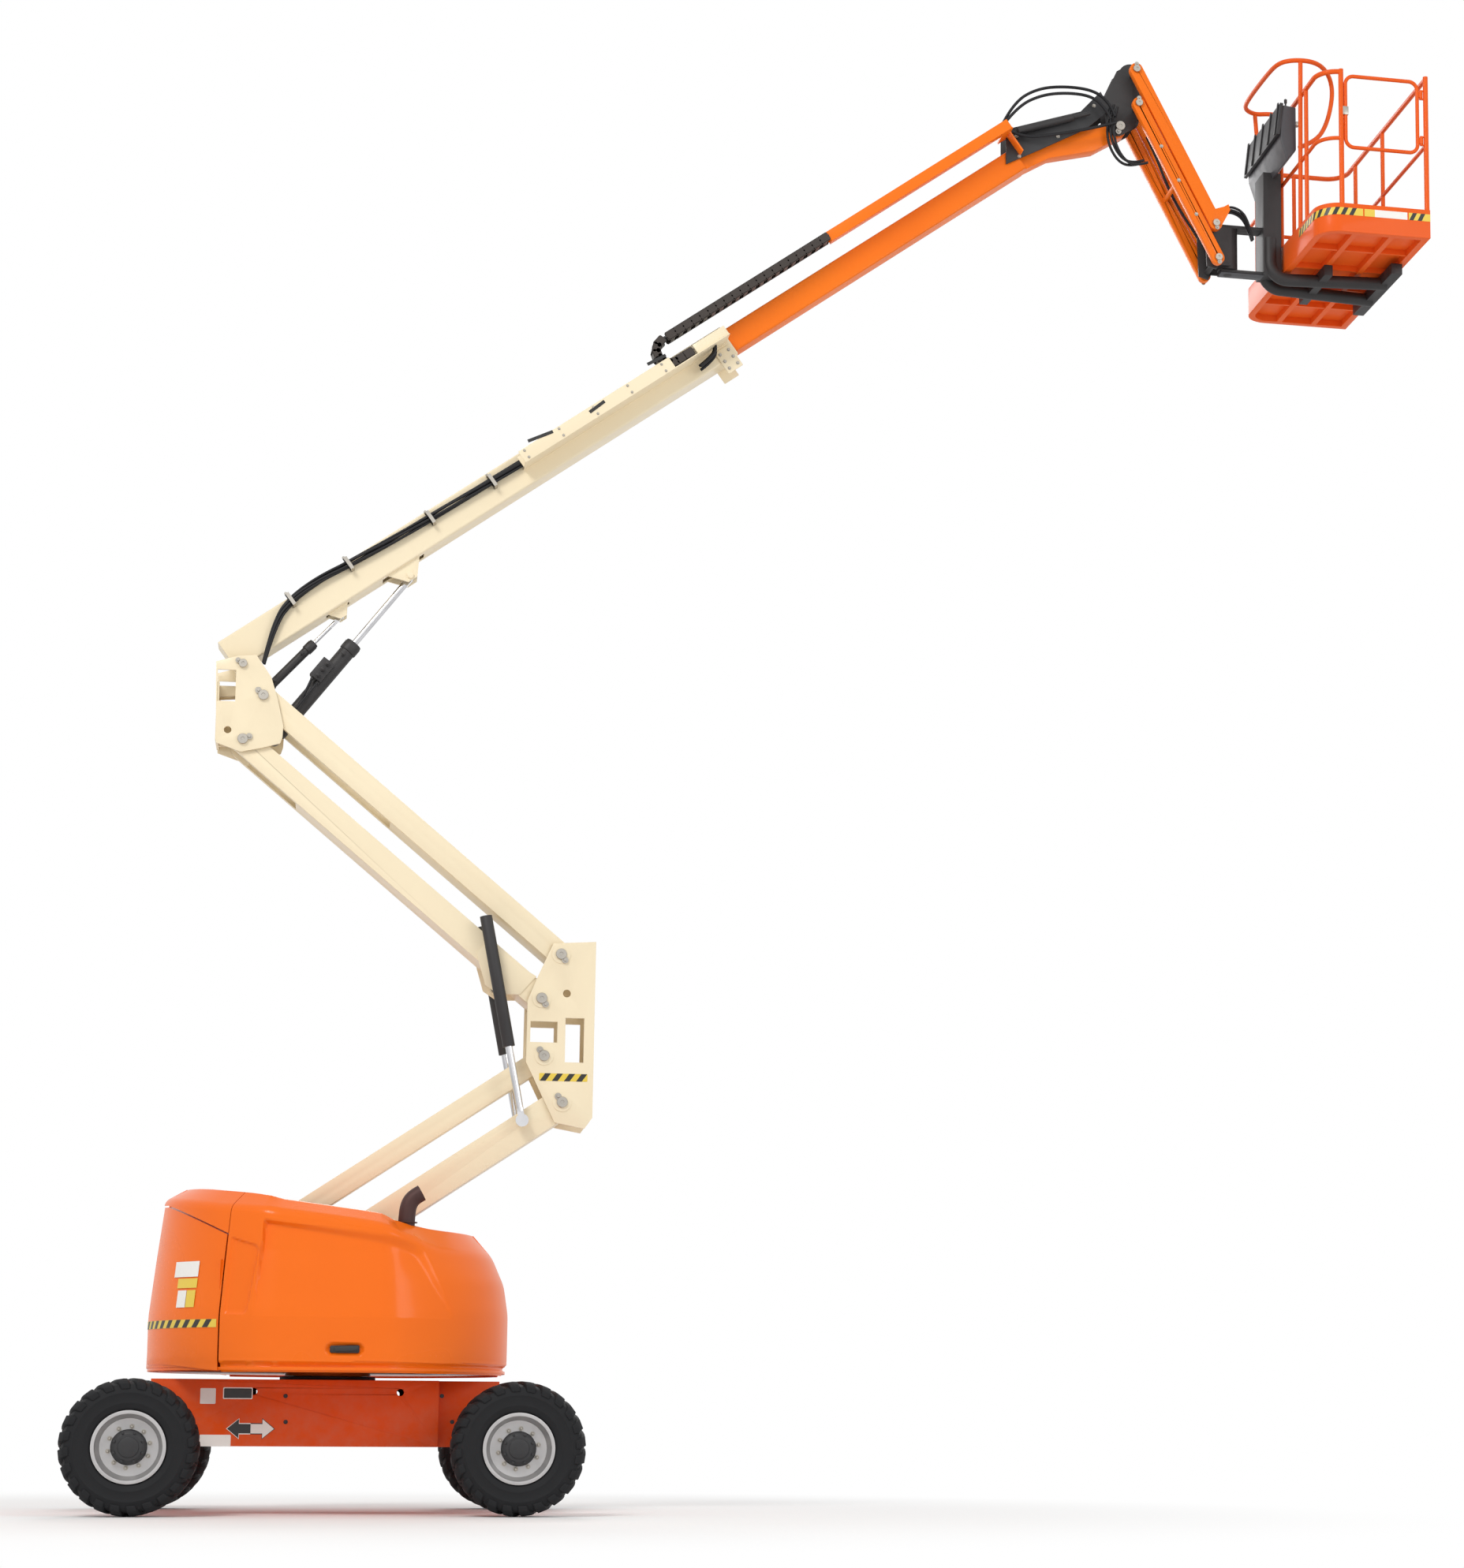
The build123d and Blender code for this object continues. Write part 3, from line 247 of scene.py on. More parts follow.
def makeFloor(facts):
    bpy.ops.mesh.primitive_plane_add(size=facts["floorSize"], location=at(0, 0, -0.001))
    floor = bpy.context.object
    floor.name = "floor"
    cover = Finish("floorPaper")
    darker = tuple(c * facts["speck"] for c in facts["floor"])
    cover.set(Base_Color=cover.mix(cover.noise(3.0), facts["floor"], darker), Roughness=0.9)
    near, far = facts["fade"]
    away = cover.node("ShaderNodeVectorMath", {"operation": "DISTANCE"},
                      {0: cover.position(), 1: at(0.0, 0.0, 0.0)}, "Value")
    ease = cover.node("ShaderNodeMapRange", {"interpolation_type": "SMOOTHSTEP"},
                      {0: away, 1: near, 2: far, 3: 0.0, 4: 1.0})
    camera = cover.node("ShaderNodeLightPath", {}, {}, "Is Camera Ray")
    glow = cover.node("ShaderNodeEmission", {}, {"Color": white, "Strength": 1.0})
    matte = Wire(cover, cover.shader.outputs[0])
    shown = cover.node("ShaderNodeMixShader", {}, {0: ease * camera, 1: matte, 2: glow})
    cover.put(cover.tree.nodes["Material Output"].inputs[0], shown)
    floor.data.materials.append(cover.material)


bpy.context.scene.view_settings.view_transform = "Standard"
makeCamera(cameraSet)
makeWorld(stageSet)
for lamp in stageSet["lamps"]:
    addLamp(*lamp)
makeFloor(stageSet)
print("stage ready")


# Finishes
def scaled(colour, factor, lift=0.0):
    return tuple(min(1.0, c * factor + lift) for c in colour)


def dust(f, colour, low, high, amount):  # pale dirt that fades out with height
    height = f.node("ShaderNodeSeparateXYZ", {}, {0: f.position()}, 2)
    rise = f.node("ShaderNodeMapRange", {}, {0: height, 1: low, 2: high, 3: amount, 4: 0.0})
    patch = f.ramp(f.noise(9.0, 5.0, 0.65), (0.35, 0.0), (0.75, 1.0))
    return f.mix(rise * patch, colour, (0.42, 0.37, 0.31))


def paintFinish(name, colour, deeper, roughness, coat, peel, dirt):
    f = Finish(name)
    broad = f.ramp(f.noise(0.9, 2.0), (0.35, 0.0), (0.7, 1.0))
    fine = f.noise(260.0, 2.0)
    scuff = f.ramp(f.noise(34.0, 6.0, 0.72), (0.6, 0.0), (0.74, 1.0))
    tone = f.mix(scuff * 0.1, f.mix(broad, colour, deeper), scaled(colour, 1.15, 0.02))
    f.set(Base_Color=dust(f, tone, 0.2, 1.1, dirt), Roughness=roughness + 0.1 * scuff + 0.05 * broad,
          Normal=f.bump(fine, peel, 0.002), Metallic=0.0, Coat_Weight=coat, Coat_Roughness=0.12,
          Specular_IOR_Level=0.14)
    return f.material


def metalFinish(name, colour, roughness, grain, metallic, strength):
    f = Finish(name)
    streak = f.noise(grain, 4.0, 0.6)
    cloud = f.ramp(f.noise(7.0, 4.0), (0.3, 0.0), (0.75, 1.0))
    f.set(Base_Color=f.mix(cloud, colour, scaled(colour, 0.82)), Roughness=roughness + 0.12 * streak,
          Metallic=metallic, Normal=f.bump(streak, strength, 0.0015))
    return f.material


def rubberFinish(name, colour, roughness, pores, worn):
    f = Finish(name)
    grain = f.noise(pores, 3.0, 0.6)
    patch = f.ramp(f.noise(11.0, 5.0, 0.7), (0.42, 0.0), (0.78, 1.0))
    f.set(Base_Color=f.mix(patch * worn, colour, scaled(colour, 1.9, 0.02)),
          Roughness=roughness + 0.1 * patch, Normal=f.bump(grain, 0.12, 0.001), Specular_IOR_Level=0.22)
    return f.material


def mouldedFinish(name, colour, roughness):
    f = Finish(name)
    pits = f.noise(500.0, 2.0)
    haze = f.ramp(f.noise(15.0, 4.0), (0.4, 0.0), (0.7, 1.0))
    f.set(Base_Color=f.mix(haze * 0.4, colour, scaled(colour, 0.8)), Roughness=roughness + 0.08 * haze,
          Normal=f.bump(pits, 0.08, 0.0008))
    return f.material


def printedFilm(name, colour):  # blank adhesive plates and stripes
    f = Finish(name)
    rub = f.ramp(f.noise(60.0, 5.0, 0.7), (0.5, 0.0), (0.8, 1.0))
    f.set(Base_Color=f.mix(rub * 0.35, colour, scaled(colour, 0.86)), Roughness=0.38 + 0.15 * rub,
          Normal=f.bump(rub, 0.03, 0.0005))
    return f.material


finishSet = {
    paintFinish: {  # colour, deeper colour, roughness, coat, orange peel, dirt near the ground
        "chassisPaint": ((0.82, 0.09, 0.006), (0.72, 0.072, 0.006), 0.42, 0.06, 0.02, 0.22),
        "hoodPaint": ((0.92, 0.17, 0.008), (0.88, 0.152, 0.007), 0.26, 0.18, 0.012, 0.06),
        "basketPaint": ((0.84, 0.118, 0.012), (0.76, 0.1, 0.01), 0.42, 0.08, 0.02, 0.0),
        "flyPaint": ((0.92, 0.19, 0.01), (0.87, 0.17, 0.009), 0.36, 0.12, 0.02, 0.0),
        "boomPaint": ((0.88, 0.765, 0.55), (0.855, 0.735, 0.52), 0.38, 0.15, 0.015, 0.0)},
    metalFinish: {  # colour, roughness, grain, metallic, bump strength
        "darkSteel": ((0.035, 0.033, 0.034), 0.48, 90.0, 0.25, 0.05),
        "rimGrey": ((0.55, 0.54, 0.54), 0.3, 160.0, 0.65, 0.05),
        "rodChrome": ((0.78, 0.78, 0.8), 0.1, 400.0, 1.0, 0.01),
        "boltZinc": ((0.5, 0.47, 0.42), 0.34, 300.0, 0.9, 0.05),
        "exhaustBrown": ((0.075, 0.035, 0.032), 0.5, 200.0, 0.5, 0.05),
        "meshSteel": ((0.22, 0.19, 0.17), 0.5, 200.0, 0.7, 0.05)},
    rubberFinish: {  # colour, roughness, pores, wear
        "tyreRubber": ((0.013, 0.0135, 0.015), 0.66, 420.0, 0.12),
        "hoseRubber": ((0.016, 0.016, 0.018), 0.42, 700.0, 0.08)},
    mouldedFinish: {  # colour, roughness
        "tankBlack": ((0.022, 0.022, 0.024), 0.5),
        "chainDark": ((0.034, 0.025, 0.02), 0.46),
        "consoleGrey": ((0.062, 0.063, 0.07), 0.5)},
    printedFilm: {  # colour
        "labelWhite": ((0.86, 0.84, 0.8),),
        "labelYellow": ((0.8, 0.58, 0.07),),
        "labelBlack": ((0.02, 0.02, 0.02),)},
}
finishes = {name: make(name, *facts) for make, group in finishSet.items() for name, facts in group.items()}
print("finishes ready")

# CAD nodes that keep their own shape: finish, softened edge in metres, and names
dressSet = [
    ("chassisPaint", 0.003, ["chassis_frame", "knuckle_near", "knuckle_far"]),
    ("chassisPaint", 0.004, ["front_axle", "rear_axle"]),
    ("rimGrey", 0.002, ["rim_rear_near", "rim_rear_far", "rim_steer_near", "rim_steer_far"]),
    ("hoodPaint", 0.003, ["turntable_frame"]),
    ("darkSteel", 0.002, ["swing_bearing", "tower_barrels", "lift_barrel", "level_barrel"]),
    ("darkSteel", 0.003, ["jib_head", "jib_foot"]),
    ("darkSteel", 0.004, ["engine_block", "platform_support"]),
    ("tankBlack", 0.008, ["tank_block"]),
    ("boomPaint", 0.001, ["track_tray"]),
    ("boomPaint", 0.0015, ["base_boom", "lower_link_main", "lower_link_second", "upper_link_main",
                           "upper_link_second"]),
    ("boomPaint", 0.003, ["mid_post", "top_post"]),
    ("rodChrome", 0.0, ["tower_rods", "lift_rod", "level_rod"]),
    ("flyPaint", 0.0015, ["fly_boom"]),
    ("flyPaint", 0.004, ["push_tube"]),
    ("flyPaint", 0.005, ["jib_lower_bars", "jib_upper_bars"]),
    ("basketPaint", 0.002, ["basket_floor"]),
    ("basketPaint", 0.0, ["basket_rails", "gate"]),
]


def makeSharpGroup(angle):  # smooth shading with edges kept sharp above an angle
    tree = bpy.data.node_groups.new("sharpByAngle", "GeometryNodeTree")
    for way in ("INPUT", "OUTPUT"):
        tree.interface.new_socket("Geometry", in_out=way, socket_type="NodeSocketGeometry")
    graph = Graph(tree)
    bend = graph.node("GeometryNodeInputMeshEdgeAngle", {}, {})
    flat = graph.node("FunctionNodeCompare", {"data_type": "FLOAT", "operation": "LESS_EQUAL"},
                      {0: bend, 1: math.radians(angle)})
    shaded = graph.node("GeometryNodeSetShadeSmooth", {"domain": "EDGE"},
                        {0: graph.node("NodeGroupInput", {}, {}), "Shade Smooth": flat})
    graph.node("NodeGroupOutput", {}, {0: shaded})
    return tree


sharpGroup = makeSharpGroup(34.0)


def softenEdges(piece, width, angle, segments=2):
    if width > 0:
        bevel = piece.modifiers.new("softEdge", "BEVEL")
        bevel.width = width
        bevel.segments = segments
        bevel.limit_method = "ANGLE"
        bevel.angle_limit = math.radians(angle)
    piece.data.shade_smooth()
    piece.modifiers.new("sharpen", "NODES").node_group = sharpGroup


for finish, width, names in dressSet:
    for name in names:
        node = frame["nodes"][name]
        node.data.materials.clear()
        node.data.materials.append(finishes[finish])
        node.modifiers.new("weld", "WELD").merge_threshold = 0.00005
        softenEdges(node, width, 32.0)
print("frame pieces dressed")


# Mesh work
def join(made, material, body, slot):
    made.data.materials.append(material)
    bpy.context.scene.collection.objects.link(made)
    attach(made, body)
    return made


class Shape:
    def __init__(self):
        self.mesh = bmesh.new()

    def skin(self, rings, loop=True, caps=True):
        rows = [[self.mesh.verts.new(p) for p in ring] for ring in rings]
        count = len(rows[0])
        for low, high in zip(rows, rows[1:]):
            for i in range(count if loop else count - 1):
                j = (i + 1) % count
                self.mesh.faces.new((low[i], low[j], high[j], high[i]))
        if caps:
            self.mesh.faces.new(list(reversed(rows[0])))
            self.mesh.faces.new(rows[-1])

    def plate(self, outline, yLow, yHigh, place=at):  # outline as (x, z), put in the frame by place
        self.skin([[place(a, y, b) for a, b in outline] for y in (yLow, yHigh)])

    def block(self, low, high, place=at):
        outline = [(low[0], low[2]), (high[0], low[2]), (high[0], high[2]), (low[0], high[2])]
        self.plate(outline, low[1], high[1], place)

    def lathe(self, centre, axis, profile, count=48, caps=True):  # profile as (radius, along)
        axis = Vector(axis).normalized()
        side = axis.orthogonal().normalized()
        other = axis.cross(side)
        centre = Vector(centre)
        rings = []
        for radius, along in profile:
            rings.append([centre + axis * along + (side * math.cos(t) + other * math.sin(t)) * radius
                          for t in (2 * math.pi * i / count for i in range(count))])
        self.skin(rings, caps=caps)

    def rod(self, start, end, radius, count=16, edge=0.0):
        start, end = Vector(start), Vector(end)
        length = (end - start).length
        profile = [(radius, 0), (radius, length)]
        if edge > 0:
            profile = [(radius - edge, 0), (radius, edge), (radius, length - edge), (radius - edge, length)]
        self.lathe(start, end - start, profile, count)

    def hexHead(self, centre, axis, radius, depth):  # a bolt head on its washer
        axis = Vector(axis).normalized()
        washer = depth * 0.18
        self.lathe(centre, axis, [(radius * 1.35, 0), (radius * 1.35, washer)], 20)
        self.lathe(Vector(centre) + axis * washer, axis,
                   [(radius, 0), (radius, depth * 0.66), (radius * 0.82, depth * 0.82)], 6)

    def pinHead(self, centre, axis, radius, depth=0.012):
        self.lathe(centre, axis, [(radius, 0), (radius, depth * 0.75), (radius * 0.93, depth),
                                  (radius * 0.35, depth), (radius * 0.3, depth * 0.7)], 32)

    def piece(self, name, finish, body, slot, bevel=0.0, angle=34.0, segments=2):
        bmesh.ops.remove_doubles(self.mesh, verts=self.mesh.verts, dist=0.00001)
        bmesh.ops.recalc_face_normals(self.mesh, faces=self.mesh.faces)
        data = bpy.data.meshes.new(name)
        self.mesh.to_mesh(data)
        self.mesh.free()
        made = bpy.data.objects.new(name, data)
        softenEdges(made, bevel, angle, segments)
        return join(made, finishes[finish], body, slot)


def hose(name, points, radius, body, finish="hoseRubber", slot="chain_dark", rings=4):
    data = bpy.data.curves.new(name, "CURVE")
    data.dimensions = "3D"
    data.bevel_depth = radius
    data.bevel_resolution = rings
    data.resolution_u = 8
    run = data.splines.new("NURBS")
    run.points.add(len(points) - 1)
    for point, place in zip(run.points, points):
        point.co = (*place, 1.0)
    run.order_u = 3
    run.use_endpoint_u = True
    return join(bpy.data.objects.new(name, data), finishes[finish], body, slot)


def between(start, end, t):
    return start + (end - start) * t


# Wheels
wheelSet = {
    "lugs": 24, "bolts": 10, "boltCircle": 0.125, "faceOut": 0.063, "capBolts": 8, "capCircle": 0.09,
    # the tyre's section as (radius, distance from its middle), from the bead to the tread's centre line
    "section": [(0.221, 0.112), (0.226, 0.132), (0.24, 0.14), (0.262, 0.1455), (0.266, 0.1475),
                (0.272, 0.1455), (0.3, 0.15), (0.322, 0.1505), (0.326, 0.1525), (0.332, 0.15),
                (0.352, 0.147), (0.376, 0.135), (0.39, 0.108), (0.396, 0.06), (0.397, 0.0)],
    "bead": [(0.213, -0.09), (0.213, 0.09)],
    # a lug from the middle outwards: foot and top as (distance from the middle, radius), half width, slant
    "lug": [((0.01, 0.396), (0.012, 0.4145), 0.03, -0.03), ((0.06, 0.396), (0.062, 0.4145), 0.031, -0.014),
            ((0.105, 0.391), (0.116, 0.4115), 0.034, 0.004), ((0.136, 0.374), (0.152, 0.384), 0.031, 0.016),
            ((0.148, 0.348), (0.1535, 0.352), 0.026, 0.02)],
    "cap": [(0.108, 0.0), (0.108, 0.03), (0.103, 0.036), (0.101, 0.058), (0.079, 0.0735), (0.064, 0.0735),
            (0.06, 0.08), (0.03, 0.083)],
    "valve": ((-0.115, 0, -0.15), (-0.13, 0, -0.168)),
}


def addLug(tyre, centre, side, angle, stations):
    rings = []
    for foot, top, half, slant in stations:
        ring = []
        for (y, r), grow in ((foot, 1.12), (top, 0.86)):
            turns = [angle + side * (slant + way * half * grow) / r for way in (-1, 1)]
            ring += [centre + Vector((math.cos(t) * r, side * y, math.sin(t) * r)) for t in turns]
        rings.append([ring[0], ring[1], ring[3], ring[2]])
    tyre.skin(rings)


def makeTyre(corner, centre, body, facts):
    half = facts["section"]
    section = half + [(r, -y) for r, y in reversed(half[:-1])] + facts["bead"]
    tyre = Shape()
    tyre.lathe(centre, (0, 1, 0), section + section[:1], 96, caps=False)
    for index in range(facts["lugs"]):
        turn = 2 * math.pi * index / facts["lugs"]
        addLug(tyre, centre, 1, turn, facts["lug"])
        addLug(tyre, centre, -1, turn + math.pi / facts["lugs"], facts["lug"])
    made = tyre.piece("tyre_" + corner + "_tread", "tyreRubber", body, "tyre_rubber", 0.003, 40)
    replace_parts(made, "tyre_" + corner)


def around(face, radius, count, shift):  # places on a circle in the wheel's plane
    turns = [2 * math.pi * index / count + shift for index in range(count)]
    return [face + Vector((math.cos(turn), 0, math.sin(turn))) * radius for turn in turns]


def makeHub(corner, face, out, body, facts):
    hub = Shape()
    hub.lathe(face, out, facts["cap"], 48)
    for place in around(face, facts["capCircle"], facts["capBolts"], math.pi / facts["capBolts"]):
        hub.hexHead(place + out * 0.066, out, 0.0075, 0.012)
    hub.piece("hub_cap_" + corner, "tankBlack", body, "dark_steel", 0.0015)
    nuts = Shape()
    for place in around(face, facts["boltCircle"], facts["bolts"], 0.2):
        nuts.lathe(place, out, [(0.015, 0), (0.015, 0.004), (0.0125, 0.005)], 24)
        nuts.hexHead(place + out * 0.004, out, 0.011, 0.016)
        nuts.rod(place, place + out * 0.03, 0.0065, 12, 0.0015)
    foot, tip = (face + Vector(place) for place in facts["valve"])
    nuts.rod(foot, tip + out * 0.028, 0.005, 12, 0.001)
    nuts.piece("wheel_nuts_" + corner, "boltZinc", body, "rim_grey")


for end in ("rear", "steer"):
    for which, side in (("near", -1), ("far", 1)):
        corner = end + "_" + which
        body = end + "_wheel_" + which
        low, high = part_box("tyre_" + corner)
        centre = (Vector(low) + Vector(high)) / 2
        out = Vector((0, side, 0))
        makeTyre(corner, centre, body, wheelSet)
        makeHub(corner, centre + out * wheelSet["faceOut"], out, body, wheelSet)
print("wheels ready")


# Hoods and tail: one skin that follows the round plan, set in by height.
# Lines on the side are (x, z) from the swing axis.
hoodSet = {
    "round": 1.15, "flat": 1.085, "inner": 0.205, "seam": -0.661, "wall": 0.005, "tailInset": 0.006,
    "low": 0.873, "reach": 1.2, "crown": 0.022, "roofRows": 14,
    "roof": [(-1.15, 2.045), (-1.011, 2.033), (-0.61, 1.992), (-0.221, 1.942), (0.202, 1.889),
             (0.45, 1.85), (0.75, 1.822), (1.15, 1.8)],
    "crease": [(-1.15, 1.965), (-1.044, 1.945), (-0.765, 1.898), (-0.432, 1.874), (-0.008, 1.829),
               (0.382, 1.775), (0.579, 1.748), (0.731, 1.69), (1.15, 1.64)],
    "visor": [(-1.15, 1.935), (-1.1, 1.925), (-1.0, 1.88), (-0.661, 1.722)],
    "sweepOuter": [(-0.437, 1.81), (0.383, 1.726), (0.47, 1.712), (0.518, 1.698), (0.56, 1.685),
                   (0.594, 1.669), (0.625, 1.635), (0.641, 1.594), (0.763, 1.212), (-0.475, 1.212)],
    "sweepInner": [(-0.425, 1.786), (0.385, 1.651), (0.47, 1.632), (0.52, 1.607), (0.556, 1.575),
                   (0.582, 1.532), (0.693, 1.306), (0.735, 1.222), (-0.455, 1.222)],
    "sweepDepth": 0.034,
    "vent": [(-0.64, 1.7), (-0.475, 1.65), (-0.457, 1.62), (-0.499, 1.24), (-0.52, 1.222), (-0.64, 1.226)],
    "ventDepth": 0.016,
    "handle": (0.095, 1.014), "handleHalf": 0.075, "handleRound": 0.045, "handleDepth": 0.026,
    "slots": [(-0.625, -0.504), (-0.46, -0.343), (-0.304, 2.0)], "slotHeights": (0.906, 0.936),
    "slotDepth": 0.006,
    # sections as (inset, z): the foot, and the upper part at the side and at the nose
    "foot": [(0.034, 0.873), (0.022, 0.9), (0.022, 0.922), (0.001, 0.932), (0.0, 1.0)],
    "noseSection": [(0.0, 1.262), (0.03, 1.451), (0.109, 1.63), (0.247, 1.785)],
}


def follow(table, x):
    for (a, p), (b, q) in zip(table, table[1:]):
        if x <= b:
            return p + (q - p) * max(0.0, x - a) / (b - a)
    return table[-1][1]


def soft(t):
    t = max(0.0, min(1.0, t))
    return t * t * (3 - 2 * t)


def lineDistance(x, z, polygon):  # positive inside
    best, inside = 9.0, False
    for (ax, az), (bx, bz) in zip(polygon, polygon[1:] + polygon[:1]):
        dx, dz = bx - ax, bz - az
        t = max(0.0, min(1.0, ((x - ax) * dx + (z - az) * dz) / (dx * dx + dz * dz)))
        best = min(best, math.hypot(x - ax - t * dx, z - az - t * dz))
        if (az > z) != (bz > z) and x < ax + (z - az) * dx / dz:
            inside = not inside
    return best if inside else -best


def planPoint(s, facts):  # place and outward way; s runs from the rear (0) to the front (1) on the near side
    r, flat = facts["round"], facts["flat"]
    start = math.asin(facts["inner"] / r)
    corner = math.asin(flat / r)
    arc = (corner - start) * r
    straight = 2 * r * math.cos(corner)
    d = s * (2 * arc + straight)
    if d < arc:
        a = start + d / r
        return (-r * math.cos(a), -r * math.sin(a)), (-math.cos(a), -math.sin(a))
    if d < arc + straight:
        return (-r * math.cos(corner) + d - arc, -flat), (0.0, -1.0)
    a = corner - (d - arc - straight) / r
    return (r * math.cos(a), -r * math.sin(a)), (math.cos(a), -math.sin(a))


def planStations(xLow, xHigh, count, facts):  # evenly spaced, with the plan's corners eased
    stations = []
    steps = 600
    for i in range(steps + 1):
        points = [planPoint(max(0, min(1, i / steps + k * 0.006)), facts) for k in range(-4, 5)]
        px = sum(p[0][0] for p in points) / len(points)
        py = sum(p[0][1] for p in points) / len(points)
        nx = sum(p[1][0] for p in points)
        ny = sum(p[1][1] for p in points)
        size = math.hypot(nx, ny)
        if xLow - 1e-6 <= px <= xHigh + 1e-6:
            stations.append(((px, py), (nx / size, ny / size)))
    return [stations[round(i * (len(stations) - 1) / (count - 1))] for i in range(count)]


def hoodProfile(x, low, facts):  # (inset, height) from the bottom edge to the roof edge
    w = soft((x - 0.25) / 0.75)
    crease, roof = follow(facts["crease"], x), follow(facts["roof"], x)
    side = [(0.0, 1.225), (0.04, (1.225 + crease) / 2), (0.085, crease), (0.235, roof)]
    upper = [(a * (1 - w) + b * w, p * (1 - w) + q * w) for (a, p), (b, q) in zip(side, facts["noseSection"])]
    points = facts["foot"] + upper
    dense = []
    for (a, p), (b, q) in zip(points, points[1:]):
        steps = max(1, int(math.hypot(b - a, q - p) / 0.004))
        dense += [(a + (b - a) * i / steps, p + (q - p) * i / steps) for i in range(steps)]
    dense.append(points[-1])
    wide = [dense[0]]
    for i in range(1, len(dense)):  # sharp below the belt line, well rounded above it
        reach = 2 if dense[i][1] < 0.96 else 9
        near = dense[max(0, i - reach):i + reach + 1]
        wide.append((sum(p[0] for p in near) / len(near), sum(p[1] for p in near) / len(near)))
    wide = [p for p in wide if p[1] >= low]
    return [hoodAt(wide, low)] + wide


def hoodAt(profile, height):
    for (a, p), (b, q) in zip(profile, profile[1:]):
        if p <= height <= q:
            return (a + (b - a) * (height - p) / max(1e-9, q - p), height)
    return (profile[0][0], height)


def evenly(points, count):
    lengths = [0.0]
    for (a, p), (b, q) in zip(points, points[1:]):
        lengths.append(lengths[-1] + math.hypot(b - a, q - p))
    picked, k = [], 0
    for i in range(count):
        goal = lengths[-1] * i / (count - 1)
        while k < len(lengths) - 2 and lengths[k + 1] < goal:
            k += 1
        t = (goal - lengths[k]) / max(1e-9, lengths[k + 1] - lengths[k])
        picked.append(tuple(points[k][j] + (points[k + 1][j] - points[k][j]) * min(1.0, t) for j in (0, 1)))
    return picked


def pressIn(x, z, facts):  # how far the pressed panels sink in
    outer = lineDistance(x, z, facts["sweepOuter"])
    sink = 0.0
    if outer > 0:
        inner = lineDistance(x, z, facts["sweepInner"])
        t = 1.0 if inner > 0 else outer / max(1e-6, outer - inner)
        sink = soft(t) * facts["sweepDepth"] * max(0.0, min(1.0, (z - 1.2) / 0.42))
    vent = lineDistance(x, z, facts["vent"])
    if vent > -0.002:
        sink = max(sink, facts["ventDepth"] * soft((vent + 0.002) / 0.016))
    x0, z0 = facts["handle"]
    handle = math.hypot(max(0.0, abs(x - x0) - facts["handleHalf"]), z - z0)
    if handle < facts["handleRound"]:
        sink = max(sink, facts["handleDepth"] * soft((facts["handleRound"] - handle) / 0.022))
    if facts["slotHeights"][0] < z < facts["slotHeights"][1]:
        sink += sum(facts["slotDepth"] for low, high in facts["slots"] if low < x < high)
    return sink


def hoodSkin(shape, xLow, xHigh, columns, rows, lowEdge, side, facts, pressed):
    inner = facts["inner"]
    rings = []
    for (px, py), (nx, ny) in planStations(xLow, xHigh, columns, facts):
        ring = []
        for inset, z in evenly(hoodProfile(px, lowEdge(px), facts), rows):
            sink = inset + (pressIn(px, z, facts) if pressed else 0.0)
            ring.append((px - nx * sink, min(-inner, py - ny * sink), z))
        ex, ey, ez = ring[-1]
        for i in range(1, facts["roofRows"] + 1):
            t = i / facts["roofRows"]
            crown = facts["crown"] * math.sin(math.pi / 2 * t) * min(1.0, max(0.0, -inner - ey) / 0.35)
            ring.append((ex, ey + (-inner - ey) * t, ez + crown))
        rings.append([at(x, y * side, z) for x, y, z in ring])
    shape.skin(rings, loop=False, caps=False)


def tailSkin(shape, columns, rows, side, facts):  # below the visor, with a lip that turns in under it
    rings = []
    for (px, py), (nx, ny) in planStations(-facts["reach"], facts["seam"] - 0.01, columns, facts):
        low = 0.925 - 0.045 * soft((px + 1.1) / 0.5)
        high = follow(facts["visor"], px) - 0.012
        profile = [p for p in hoodProfile(px, facts["low"], facts) if p[1] < high]
        ring = []
        for i in range(rows):
            z = low + (high - low) * i / (rows - 1)
            inset = hoodAt(profile, min(z, profile[-1][1]))[0] if z > 0.94 else 0.004
            inset += facts["tailInset"]
            ring.append((px - nx * inset, py - ny * inset, z))
        ex, ey, _ = ring[-1]
        for i in range(1, 7):
            t = i / 6
            ring.append((ex - nx * 0.16 * t, ey - ny * 0.16 * t, high + 0.01 * t))
        rings.append([at(x, min(-facts["inner"], y) * side, z) for x, y, z in ring])
    shape.skin(rings, loop=False, caps=False)


def giveWall(piece, wall):
    solid = piece.modifiers.new("wall", "SOLIDIFY")
    solid.thickness = wall
    solid.offset = -1.0
    piece.modifiers.move(len(piece.modifiers) - 1, 0)


def makeCovers(which, side, facts):
    hood = Shape()
    seam, reach = facts["seam"], facts["reach"]
    hoodSkin(hood, seam, reach, 230, 120, lambda x: facts["low"], side, facts, True)
    hoodSkin(hood, -reach, seam, 60, 34, lambda x: follow(facts["visor"], x), side, facts, False)
    made = hood.piece("hood_shell_" + which, "hoodPaint", "hood_" + which, "orange_gloss")
    giveWall(made, facts["wall"])
    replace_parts(made, "hood_" + which)
    tail = Shape()
    tailSkin(tail, 60, 40, side, facts)
    made = tail.piece("tail_shell_" + which, "hoodPaint", "turntable", "orange_gloss")
    giveWall(made, facts["wall"])
    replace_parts(made, "tail_cover_" + which)


